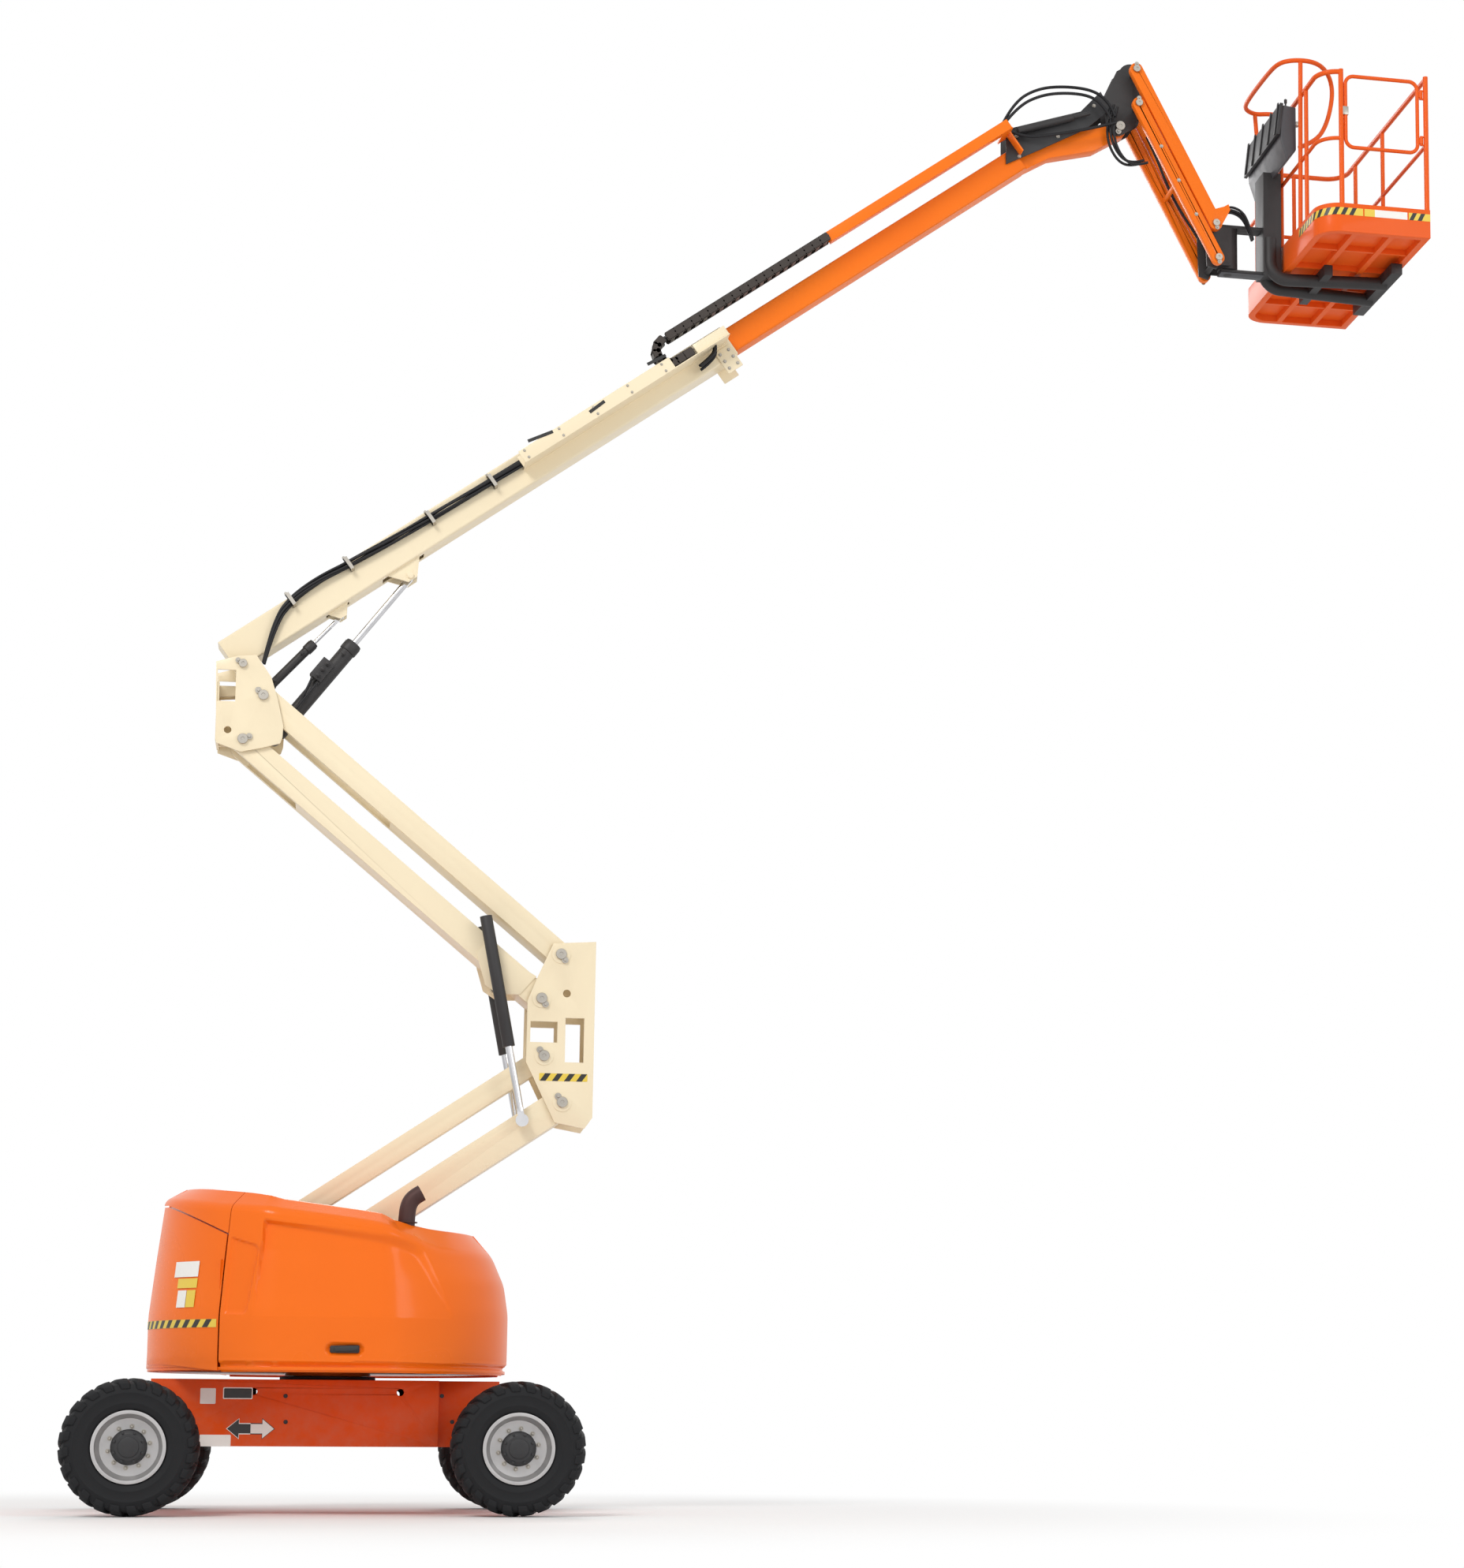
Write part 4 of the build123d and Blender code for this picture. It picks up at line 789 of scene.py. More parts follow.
latchSet = {
    "set": 0.026, "base": 0.012, "grip": 0.014,
    "plate": [(0.012, 0.992), (0.178, 0.992), (0.184, 1.0), (0.184, 1.034), (0.178, 1.04), (0.012, 1.036),
        (0.006, 1.028), (0.006, 1.0)],
    "lever": [(0.035, 1.0), (0.15, 1.004), (0.176, 1.01), (0.176, 1.03), (0.14, 1.034), (0.035, 1.026)],
}


def makeLatch(which, side, facts):
    foot = hoodSet["flat"] - facts["set"]
    levels = [-side * y for y in (foot, foot + facts["base"], foot + facts["base"] + facts["grip"])]
    latch = Shape()
    latch.plate(facts["plate"], levels[0], levels[1])
    latch.plate(facts["lever"], levels[1], levels[2])
    latch.piece("hood_latch_" + which, "tankBlack", "hood_" + which, "tank_black", 0.003)


for which, side in (("near", 1), ("far", -1)):
    makeCovers(which, side, hoodSet)
    makeLatch(which, side, latchSet)
print("covers ready")

# Joint places
lowerEnd = spot("mid_post_level")
secondEnd = lowerEnd + spot("lower_second_lift") - spot("tower_lift")
upperStart = spot("upper_main_lift")
fourthStart = spot("upper_second_lift")
upperEnd = spot("top_post_level")
fourthEnd = upperEnd + fourthStart - upperStart
nosePin = spot("jib_head_level")
headLow = spot("jib_lift")
headHigh = spot("jib_upper_lift")
footLow = spot("jib_foot_level")
footHigh = footLow + headHigh - headLow

# Pin heads: body, slot, and per pin its place, distance from the middle, radius and the keeper's turn
pinSet = {
    "post_pins": ("mid_post", "boom_cream", [
        (lowerEnd, 0.181, 0.036, 2.2), (secondEnd, 0.181, 0.036, 2.2),
        (upperStart, 0.181, 0.036, -1.0), (fourthStart, 0.181, 0.036, -1.0)]),
    "top_post_pins": ("top_post", "boom_cream", [
        (upperEnd, 0.181, 0.034, 0.4), (fourthEnd, 0.181, 0.034, 2.4), (heel, 0.181, 0.028, 2.6)]),
    "jib_head_pins": ("jib_head", "fly_orange", [
        (headLow, 0.206, 0.026, 1.6), (headHigh, 0.206, 0.026, 1.6), (nosePin, 0.0825, 0.034, -1.9)]),
    "jib_foot_pins": ("jib_foot", "fly_orange", [
        (footLow, 0.206, 0.026, -1.4), (footHigh, 0.206, 0.026, -1.4)]),
}


def makePins(name, body, slot, pins):  # each with a keeper bar and its bolt, on both sides
    heads = Shape()
    for place, reach, radius, turn in pins:
        for side in (-1, 1):
            out = Vector((0, side, 0))
            face = place + out * reach
            heads.pinHead(face, out, radius)
            keeper = face + Vector((math.cos(turn), 0, math.sin(turn))) * radius * 1.3
            heads.rod(keeper, keeper + out * 0.006, radius * 0.62, 20, 0.001)
            heads.hexHead(keeper + out * 0.006, out, radius * 0.3, 0.009)
    heads.piece(name, "boltZinc", body, slot)


for name, (body, slot, pins) in pinSet.items():
    makePins(name, body, slot, pins)


# Plates and stripes on flat faces
def plane(origin, along, up, out):  # a flat local frame on a surface
    origin, along, up, out = Vector(origin), *(Vector(v).normalized() for v in (along, up, out))
    return lambda a, y, b: origin + along * a + up * b + out * y


def label(name, place, low, high, finish, body, slot, lift=0.0012):
    a, b, r = *low, 0.004
    c, d = high
    corners = [(a + r, b), (c - r, b), (c, b + r), (c, d - r), (c - r, d), (a + r, d), (a, d - r), (a, b + r)]
    shape = Shape()
    shape.plate(corners, 0.0002, lift, place)
    shape.piece(name, finish, body, slot)


def hexHeads(name, places, out, radius, depth, body, slot, finish="boltZinc"):
    heads = Shape()
    for place in places:
        heads.hexHead(place, out, radius, depth)
    heads.piece(name, finish, body, slot)


# Chassis side: plates, the double arrow and bolts
chassisSet = {
    "grey": ((-0.774, 0.681), (-0.68, 0.778)), "black": ((-0.636, 0.712), (-0.456, 0.784)), "rim": 0.006,
    "strip": ((-0.769, 0.419), (-0.581, 0.491)), "arrow": ((-0.606, 0.469), (-0.319, 0.589)),
    "arrowHead": 0.072, "arrowShaft": 0.03,
    "halves": [(-1, "dark", "labelBlack", "labelWhite"), (1, "pale", "labelWhite", "labelBlack")],
    "bolts": [(-0.255, 0.733), (-0.25, 0.572), (0.708, 0.74), (0.776, 0.578)],
}


def arrowHalf(facts, grow, way):  # from the middle to one tip
    (x0, z0), (x1, z1) = facts["arrow"]
    middle, level = (x0 + x1) / 2, (z0 + z1) / 2
    end = x0 if way < 0 else x1
    root, neck = middle - way * 0.0005, end - way * (facts["arrowHead"] + grow * 0.4)
    shaft = facts["arrowShaft"] + grow
    return [(root, level - shaft), (neck, level - shaft), (neck, z0 - grow), (end + way * grow, level),
            (neck, z1 + grow), (neck, level + shaft), (root, level + shaft)]


def dressChassis(which, side, facts):
    face = plane(at(0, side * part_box("chassis_frame")[1][1], 0), (1, 0, 0), (0, 0, 1), (0, side, 0))
    place = ("chassis", "chassis_orange")
    label("frame_plate_" + which, face, *facts["grey"], "labelWhite", *place)
    label("frame_rim_" + which, face, *facts["black"], "labelWhite", *place)
    (x0, z0), (x1, z1) = facts["black"]
    rim = facts["rim"]
    card = (x0 + rim, z0 + rim), (x1 - rim, z1 - rim)
    label("frame_card_" + which, face, *card, "labelBlack", *place, 0.002)
    label("frame_strip_" + which, face, *facts["strip"], "labelWhite", *place)
    for way, tag, finish, edging in facts["halves"]:
        edge = Shape()
        edge.plate(arrowHalf(facts, 0.005, way), 0.0002, 0.001, face)
        edge.piece(f"arrow_edge_{tag}_{which}", edging, *place)
        core = Shape()
        core.plate(arrowHalf(facts, -0.001, way), 0.001, 0.0018, face)
        core.piece(f"arrow_{tag}_{which}", finish, *place)
    hexHeads("frame_bolts_" + which, [face(x, 0, z) for x, z in facts["bolts"]], (0, side, 0), 0.01, 0.01,
             *place, "tankBlack")


for which, side in (("near", -1), ("far", 1)):
    dressChassis(which, side, chassisSet)
print("chassis details ready")

# Lugs of the upper link, with the tower cylinders' pins
lugSet = {
    "outline": [(0.877, 3.627), (0.932, 3.687), (1.27, 3.489), (1.165, 3.365), (1.026, 3.361), (0.938, 3.42)],
    "inner": 0.1485, "outer": 0.1555, "pin": 0.024,
}


def makeLinkLugs(facts):
    towerLug = spot("tower_barrel_swing")
    lugs, pins = Shape(), Shape()
    for side in (-1, 1):
        lugs.plate(facts["outline"], *sorted((side * facts["inner"], side * facts["outer"])))
        pins.pinHead(Vector((towerLug.x, side * facts["outer"], towerLug.z)), (0, side, 0), facts["pin"])
    lugs.piece("upper_link_lugs", "boomPaint", "upper_main", "boom_cream", 0.002)
    pins.piece("upper_link_lug_pins", "boltZinc", "upper_main", "boom_cream")


makeLinkLugs(lugSet)

# Tail labels and the striped band: thin films that follow the round tail, by turn from the rear and height
tailSet = {
    "pale": ("labelWhite", (0.555, 0.77), (1.459, 1.555)),
    "yellow": ("labelYellow", (0.6, 0.77), (1.39, 1.449)),
    "paleLow": ("labelWhite", (0.612, 0.69), (1.27, 1.376)),
    "yellowLow": ("labelYellow", (0.694, 0.765), (1.27, 1.376)),
}
bandSet = {
    "turns": (0.2, 0.935), "heights": (1.145, 1.195), "stripes": 9, "first": 0.205, "pitch": 0.079,
    "width": 0.038, "stripeHeights": (1.146, 1.194), "lean": 0.62,
}


def tailRadius(z, turn):
    profile = hoodProfile(-hoodSet["round"] * math.cos(turn), hoodSet["low"], hoodSet)
    return hoodSet["round"] - hoodSet["tailInset"] - (hoodAt(profile, z)[0] if z > 0.94 else 0.004)


def tailFilm(name, finish, turns, heights, side, lift, lean=0.0, steps=8):
    (first, last), (low, high), thick = turns, heights, 0.0008
    rings = []
    for i in range(steps + 1):
        ring = []
        for z, push in ((low, 0), (high, 0), (high, thick), (low, thick)):
            turn = first + (last - first) * i / steps + lean * (z - low)
            radius = tailRadius(z, turn) + lift + push
            ring.append(at(-radius * math.cos(turn), -radius * math.sin(turn) * side, z))
        rings.append(ring)
    film = Shape()
    film.skin(rings)
    film.piece(name, finish, "turntable", "orange_gloss")


def dressTail(which, side, labels, band):
    for tag, (finish, turns, heights) in labels.items():
        tailFilm(f"tail_{tag}_{which}", finish, turns, heights, side, 0.003)
    tailFilm("tail_band_" + which, "labelYellow", band["turns"], band["heights"], side, 0.0012, steps=30)
    for index in range(band["stripes"]):
        start = band["first"] + index * band["pitch"]
        tailFilm(f"tail_stripe_{which}_{index}", "labelBlack", (start, start + band["width"]),
                 band["stripeHeights"], side, 0.0022, band["lean"], 3)


for which, side in (("near", 1), ("far", -1)):
    dressTail(which, side, tailSet, bandSet)

# Counterweight: follows the tail shells from inside, so that it shows only between and below them
weightSet = {
    "round": 1.134, "front": 0.668, "gap": 0.014, "steps": 24,
    "heights": [0.93, 1.05, 1.15, 1.21, 1.3, 1.4, 1.5],
}


def makeCounterweight(name, facts):
    (_, _, lowZ), (_, _, highZ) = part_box(name)
    reach = math.acos((facts["front"] + 0.004) / facts["round"])
    heights = [lowZ, *facts["heights"], highZ]
    rings = []
    for step in range(2 * facts["steps"] + 1):
        turn = reach * (step / facts["steps"] - 1)
        outer = [min(facts["round"], tailRadius(z, turn) - facts["gap"]) if z > 1.0 else facts["round"]
                 for z in heights]
        ring = [at(-r * math.cos(turn), -r * math.sin(turn), z) for r, z in zip(outer, heights)]
        inner = facts["front"] / math.cos(turn)
        ring += [at(-inner * math.cos(turn), -inner * math.sin(turn), z) for z in (highZ, lowZ)]
        rings.append(ring)
    weight = Shape()
    weight.skin(rings)
    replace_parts(weight.piece("counterweight_block", "hoodPaint", "turntable", "orange_gloss", 0.006), name)


makeCounterweight("counterweight", weightSet)
print("tail ready")

# Middle post: striped band
postBandSet = {
    "place": (1.3, 0.173, 2.798), "length": 0.315, "height": 0.05, "bands": 4, "lean": 0.7, "lift": 0.0012,
}


def makePostBand(which, side, facts):
    x, y, z = facts["place"]
    length, height, lift = facts["length"], facts["height"], facts["lift"]
    face = plane(at(x, side * y, z), (1, 0, 0), (0, 0, 1), (0, side, 0))
    name = "post_band_" + which
    label(name + "_ground", face, (0, 0), (length, height), "labelYellow", "mid_post", "boom_cream", lift)
    pitch = length / facts["bands"]
    lean = height * facts["lean"]
    dark = Shape()
    for index in range(facts["bands"]):
        left = pitch * (index + 0.05)
        right = left + pitch * 0.48
        dark.plate([(left, 0), (right, 0), (min(length, right + lean), height),
                    (min(length - 0.001, left + lean), height)], lift, lift + 0.0006, face)
    dark.piece(name + "_bands", "labelBlack", "mid_post", "boom_cream")


for which, side in (("near", -1), ("far", 1)):
    makePostBand(which, side, postBandSet)

# Boom hoses: strands that share a route and cross each other a little, in clips
boomHoseSet = {
    "y": -0.128, "radius": 0.0085, "strands": 6, "spread": 0.02, "seed": 3, "clipsAt": (2, 4, 6, 7),
    "route": [(-0.545, 5.5), (-0.482, 5.784), (-0.384, 5.937), (-0.21, 6.082), (-0.018, 6.201),
        (0.302, 6.405), (0.506, 6.547), (0.907, 6.826), (1.208, 7.04), (1.335, 7.15), (1.46, 7.24)],
    "clip": [(-0.052, 0.026), (-0.045, -0.034), (0.045, -0.034), (0.052, 0.026), (0.052, 0.022),
        (0.041, -0.03), (-0.041, -0.03), (-0.052, 0.022)],
    "clipWidth": 0.024,
}


def makeBoomHoses(facts):
    route = inPlane(facts["y"], facts["route"])
    spin = random.Random(facts["seed"])
    for strand in range(facts["strands"]):
        base = 2 * math.pi * strand / facts["strands"] + spin.random()
        points = []
        for index, place in enumerate(route):
            turn = base + 0.55 * index
            wide = facts["spread"] * (0.35 if index in (0, len(route) - 1) else 1.0)
            sideways = Vector((0, math.cos(turn) * wide * 0.55, 0))
            points.append(place + sideways + boomUp * math.sin(turn) * wide)
        hose(f"boom_hose_{strand}", points, facts["radius"], "base_boom")
    clips = Shape()
    width = facts["clipWidth"]
    for centre in (route[index] for index in facts["clipsAt"]):
        side = [centre + boomUp * b + Vector((0, y, 0)) - boomWay * width / 2 for b, y in facts["clip"]]
        clips.skin([side, [p + boomWay * width for p in side]])
        clips.hexHead(centre + boomUp * 0.058 + Vector((0, 0.028, 0)), (0, -1, 0), 0.008, 0.009)
    clips.piece("boom_clips", "boltZinc", "base_boom", "boom_cream")


makeBoomHoses(boomHoseSet)
print("boom hoses ready")

# Hose bridge: real links over the track's upper run and its loop, in metres along and above the boom
trackSet = {
    "y": -0.205, "bend": 3.57, "low": 0.118, "high": 0.352, "depth": 0.062, "pitch": 0.07, "runEnd": 4.97,
    "hoses": [(-0.226, 0.009), (-0.205, 0.011), (-0.184, 0.009)], "kept": 0.15, "loopLinks": 6,
    "link": [(-0.04, -0.022), (-0.032, -0.0305), (0.032, -0.0305), (0.04, -0.022), (0.04, 0.022),
        (0.032, 0.0305), (-0.032, 0.0305), (-0.04, 0.022)],
    "sides": [(0.0435, 0.0495, 0.86), (0.037, 0.043, 1.0)],
    "bar": [(-0.016, 0.0295), (0.016, 0.0295), (0.016, 0.024), (-0.016, 0.024)],
}


def addLink(shape, reach, above, turn, facts):
    ahead = boomWay * math.cos(turn) + boomUp * math.sin(turn)
    across = boomUp * math.cos(turn) - boomWay * math.sin(turn)
    centre = onBoom(reach, facts["y"], above)

    def place(a, y, b):
        return centre + ahead * a + across * b + Vector((0, y, 0))
    for inner, outer, grow in facts["sides"]:
        for side in (-1, 1):
            shape.plate([(a * grow, b * grow) for a, b in facts["link"]], side * inner, side * outer, place)
    for sign in (-1, 1):
        shape.plate([(a, sign * b) for a, b in facts["bar"]], -0.038, 0.038, place)
        shape.lathe(place(facts["pitch"] * 0.5 * sign, -0.05, 0), (0, 1, 0), [(0.0065, 0), (0.0065, 0.1)], 12)


def makeLoop(radius, middle, facts):
    bend, lowRun = facts["bend"], facts["low"] + facts["depth"] / 2
    loop = Shape()
    for index in range(facts["loopLinks"]):
        turn = math.pi * (index + 0.5) / facts["loopLinks"]
        addLink(loop, bend - math.sin(turn) * radius, middle - math.cos(turn) * radius, math.pi - turn, facts)
    for index in range(2):
        addLink(loop, bend + (index + 0.5) * 0.065, lowRun, 0.0, facts)
    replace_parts(loop.piece("chain_loop_links", "chainDark", "track_loop", "chain_dark"), "track_loop")


def makeUpperRun(facts):
    bend, runEnd, high = facts["bend"], facts["runEnd"], facts["high"] - facts["depth"] / 2
    steps = round((runEnd - bend) / facts["pitch"])
    run = Shape()
    for index in range(steps):
        addLink(run, bend + 0.04 + (index + 0.5) * (runEnd - bend - 0.045) / steps, high, 0.0, facts)
    upper = run.piece("chain_upper_links", "chainDark", "fly", "chain_dark")
    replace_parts(upper, "track_upper_run")
    inner = Shape()
    for y, thick in facts["hoses"]:
        inner.rod(onBoom(bend + 0.02, y, high), onBoom(runEnd - 0.004, y, high), thick)
    packed = inner.piece("chain_upper_hoses", "hoseRubber", "fly", "chain_dark")
    for piece in (upper, packed):  # each piece gets its own copy of its mesh
        onBoom(facts["runEnd"], 0, 0)
        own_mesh(piece)


def makeLoopHoses(radius, middle, facts):
    for tag, (y, thick) in zip("abc", facts["hoses"]):
        bent = [onBoom(facts["bend"] + 0.13, y, facts["low"] + facts["depth"] / 2)]
        for step in range(9):
            turn = math.pi * step / 8
            bent.append(onBoom(facts["bend"] - math.sin(turn) * radius, y, middle - math.cos(turn) * radius))
        hose("loop_hose_" + tag, bent, thick, "track_loop")


loopRadius = (trackSet["high"] - trackSet["low"] - trackSet["depth"]) / 2
loopMiddle = (trackSet["high"] + trackSet["low"]) / 2
makeLoop(loopRadius, loopMiddle, trackSet)
makeUpperRun(trackSet)
makeLoopHoses(loopRadius, loopMiddle, trackSet)
print("hose bridge ready")

# Tray: slits as black films that paint the shade seen through them, bolts, and the hoses that leave it and
# curl down beside the boom
traySet = {
    "y": -0.2695, "slitHalf": 0.011, "thick": 0.0012,
    "slits": [((1.13, 7.072), (1.294, 7.15)), ((1.536, 7.3), (1.634, 7.384)), ((1.917, 7.66), (2.04, 7.734))],
    "boltsAlong": (2.34, 2.62, 2.9, 3.18, 3.46), "boltsAbove": (0.125, 0.178), "boltY": -0.269,
    "hoses": {"a": (-0.232, 0.0), "b": (-0.205, 0.012), "c": (-0.18, -0.01)},
    "curl": [(3.72, 0.15, 0), (3.8, 0.168, 0), (3.87, 0.15, 0.4), (3.865, 0.085, 1), (3.8, 0.05, 1),
        (3.7, 0.04, 1)],
}


def makeTray(facts):
    # the slits are black films on the tray's face: painted shade where the openings are
    slits = Shape()
    for start, end in (inPlane(facts["y"], slit) for slit in facts["slits"]):
        way = (end - start).normalized()
        rise = Vector((-way.z, 0, way.x)) * facts["slitHalf"]
        ring = [start - rise, end - rise, end + rise, start + rise]
        slits.skin([ring, [p - Vector((0, facts["thick"], 0)) for p in ring]])
    slits.piece("tray_slits_painted_shade", "labelBlack", "base_boom", "chain_dark")
    places = [onBoom(reach, facts["boltY"], above)
              for reach in facts["boltsAlong"] for above in facts["boltsAbove"]]
    hexHeads("tray_bolts", places, (0, -1, 0), 0.007, 0.008, "base_boom", "boom_cream")
    for tag, (y, lift) in facts["hoses"].items():
        points = [onBoom(a, y + 0.03 * inward, b + lift) for a, b, inward in facts["curl"]]
        hose("boom_tail_hose_" + tag, points, 0.01, "base_boom")


makeTray(traySet)

# Boom cylinders: gland rings, end caps and ports, from the pin in metres
liftPin = spot("lift_barrel_swing")
liftEye = onBoom(1.259, 0, -0.076)
cylinderSet = {
    "lift_barrel": {"pin": liftPin, "eye": liftEye, "length": 0.834, "radius": 0.052},
    "level_barrel": {
        "pin": spot("level_barrel_swing"),
        "eye": onBoom(0.738, 0, -0.045),
        "length": 0.47,
        "radius": 0.029,
    },
}


def makeGlands(body, facts, cap=0.05):
    base, radius, length = facts["pin"], facts["radius"], facts["length"]
    way = (facts["eye"] - base).normalized()
    out = Vector((0, -1, 0))
    rings = Shape()
    gland, lip, collar = radius + 0.006, radius + 0.002, radius + 0.004
    rings.lathe(base + way * (length - 0.075), way,
                [(radius, 0), (gland, 0.003), (gland, 0.06), (lip, 0.066), (lip, 0.074),
                 (radius * 0.7, 0.0755)], 40)
    rings.lathe(base + way * cap, way, [(radius, 0), (collar, 0.002), (collar, 0.03), (radius, 0.032)], 40)
    for reach in (cap + 0.05, length - 0.11):
        foot = base + way * reach
        rings.rod(foot + out * (radius - 0.004), foot + out * (radius + 0.016), 0.013, 20, 0.002)
        rings.hexHead(foot + out * (radius + 0.016), out, 0.012, 0.016)
    rings.piece(body + "_glands", "darkSteel", body, "boom_cream", 0.0015)


for body, facts in cylinderSet.items():
    makeGlands(body, facts)

# Valve block on the lift barrel, with its plugs, unions and two hoses
liftWay = (liftEye - liftPin).normalized()
liftSide = Vector((-liftWay.z, 0, liftWay.x))
valveSet = {
    "low": (0.47, -0.108, -0.008), "high": (0.62, -0.04, 0.078), "plugs": (0.495, 0.545, 0.595),
    "unions": {"a": (0.004, 0.012), "b": (0.05, 0.0)},
    "route": [(0.455, -0.078, 1.0), (0.38, -0.086, 0.6), (0.26, -0.084, 0.0), (0.14, -0.076, 0.0),
        (0.09, -0.066, 0.0)],
}


def onLift(a, y, b):
    return liftPin + liftWay * a + Vector((0, y, 0)) + liftSide * b


def makeValve(facts):
    valve = Shape()
    valve.block(facts["low"], facts["high"], onLift)
    for a in facts["plugs"]:
        valve.rod(onLift(a, -0.108, 0.03), onLift(a, -0.124, 0.03), 0.013, 20, 0.002)
        valve.hexHead(onLift(a, -0.124, 0.03), (0, -1, 0), 0.011, 0.012)
    for b, _ in facts["unions"].values():
        valve.rod(onLift(0.47, -0.078, b), onLift(0.452, -0.078, b), 0.012, 20, 0.002)
    valve.piece("valve_block", "darkSteel", "lift_barrel", "tank_black", 0.002)
    for tag, (b, apart) in facts["unions"].items():
        points = [onLift(a, y - apart, b * share) for a, y, share in facts["route"]]
        hose("valve_hose_" + tag, points, 0.0085, "lift_barrel")


makeValve(valveSet)
print("cylinders dressed")

# Mouth of the boom: plates and bolts
mouthSet = {
    "inner": 0.101, "outer": 0.112, "along": (3.86, 3.98), "half": 0.085, "boltsAlong": (3.885, 3.955),
    "boltsAbove": (-0.055, 0.0, 0.055),
}


def makeMouth(facts):
    (start, end), half = facts["along"], facts["half"]
    mouth, bolts = Shape(), Shape()
    for side in (-1, 1):
        low, high = sorted((side * facts["inner"], side * facts["outer"]))
        mouth.block((start, low, -half), (end, high, half), onBoom)
        for reach in facts["boltsAlong"]:
            for above in facts["boltsAbove"]:
                bolts.hexHead(onBoom(reach, side * facts["outer"], above), (0, side, 0), 0.009, 0.01)
    mouth.piece("mouth_plates", "boomPaint", "base_boom", "boom_cream", 0.003)
    bolts.piece("mouth_bolts", "boltZinc", "base_boom", "boom_cream")


makeMouth(mouthSet)

# Boom nose: black plates, a slave cylinder beside them and the hoses that pass over
noseSet = {
    "inner": 0.084, "outer": 0.092,
    "outline": [(4.424, 9.619), (4.783, 9.74), (4.964, 9.8), (5.109, 9.961), (5.182, 9.835), (5.0, 9.671),
        (4.676, 9.495), (4.425, 9.363)],
    "bolts": [(4.5, 9.575), (4.52, 9.43), (4.76, 9.69), (4.8, 9.6), (5.06, 9.85)], "slaveY": -0.128,
    "slave": [(4.5, 9.6), (4.9, 9.735), (5.02, 9.775)],
    "hoses": {
        "a": (-0.15, [(4.392, 9.64), (4.47, 9.8), (4.64, 9.915), (4.85, 9.95), (5.06, 9.935), (5.17, 9.84),
            (5.2, 9.76)]),
        "b": (-0.168, [(4.392, 9.62), (4.49, 9.76), (4.66, 9.86), (4.85, 9.895), (5.03, 9.885), (5.13, 9.8),
            (5.165, 9.73)]),
        "c": (-0.14, [(4.4, 9.6), (4.54, 9.545), (4.76, 9.59), (4.96, 9.64), (5.12, 9.69), (5.21, 9.72)]),
    },
}


def makeNose(facts):
    nose, bolts, slave = Shape(), Shape(), Shape()
    for side in (-1, 1):
        nose.plate(facts["outline"], *sorted((side * facts["inner"], side * facts["outer"])))
        for place in inPlane(side * facts["outer"], facts["bolts"]):
            bolts.hexHead(place, (0, side, 0), 0.01, 0.01)
    nose.piece("nose_plates", "tankBlack", "fly", "tank_black", 0.002)
    bolts.piece("nose_bolts", "boltZinc", "fly", "fly_orange")
    foot, gland, tip = inPlane(facts["slaveY"], facts["slave"])
    slave.rod(foot, gland, 0.026, 32, 0.003)
    slave.rod(gland, tip, 0.014, 24)
    slave.piece("slave_cylinder", "darkSteel", "fly", "tank_black", 0.001)
    for tag, (y, route) in facts["hoses"].items():
        hose("nose_hose_" + tag, inPlane(y, route), 0.0105, "fly")


makeNose(noseSet)
print("boom nose ready")

# Jib: hoses under the head and along the bars, and the bars' bolts
jibSet = {
    "head": {"a": (-0.115, 0.0), "b": (-0.132, 0.022), "c": (-0.098, -0.018)},
    "route": [(5.2, 9.86), (5.17, 9.74), (5.18, 9.59), (5.25, 9.47), (5.34, 9.44), (5.42, 9.47)],
    "bars": {"a": (-0.12, 0.055), "b": (-0.138, 0.046), "c": (0.115, 0.055)},
    "stations": (0.13, 0.26, 0.42, 0.6, 0.8, 0.93), "wave": 0.02, "bolts": (0.28, 0.5, 0.72), "boltY": 0.2,
}


def dressJib(facts):
    for tag, (y, shift) in facts["head"].items():
        route = inPlane(y, [(x + shift, z - abs(shift)) for x, z in facts["route"]])
        hose("jib_head_hose_" + tag, route, 0.0095, "jib_head")
    way = (footLow - headLow).normalized()
    rise = Vector((-way.z, 0, way.x))
    for tag, (y, above) in facts["bars"].items():
        points = []
        for t in facts["stations"]:
            wave = above + facts["wave"] * math.sin(9 * t)
            points.append(between(headLow, footLow, t) + Vector((0, y, 0)) + rise * wave)
        hose("jib_hose_" + tag, points, 0.01, "jib_lower")
    bolts = Shape()
    for t in facts["bolts"]:
        for side in (-1, 1):
            place = between(headLow, footLow, t) + Vector((0, side * facts["boltY"], 0))
            bolts.hexHead(place, (0, side, 0), 0.01, 0.009)
    bolts.piece("jib_bar_bolts", "boltZinc", "jib_lower", "fly_orange")


dressJib(jibSet)

# Rotator: grey arm plates above and below, and hoses over it
rotatorSet = {
    "x": (-0.058, 0.258), "half": 0.05, "above": (0.0515, 0.057), "below": (-0.047, -0.0415),
    "hoses": {"a": (-0.11, 0.0), "b": (-0.128, 0.014), "c": (-0.094, -0.012)},
    "route": [(0.02, 1.0, 0.09), (0.1, 1.0, 0.15), (0.2, 1.0, 0.13), (0.26, 0.9, 0.06)],
    "end": (0.3, 0.8, -0.06),
}


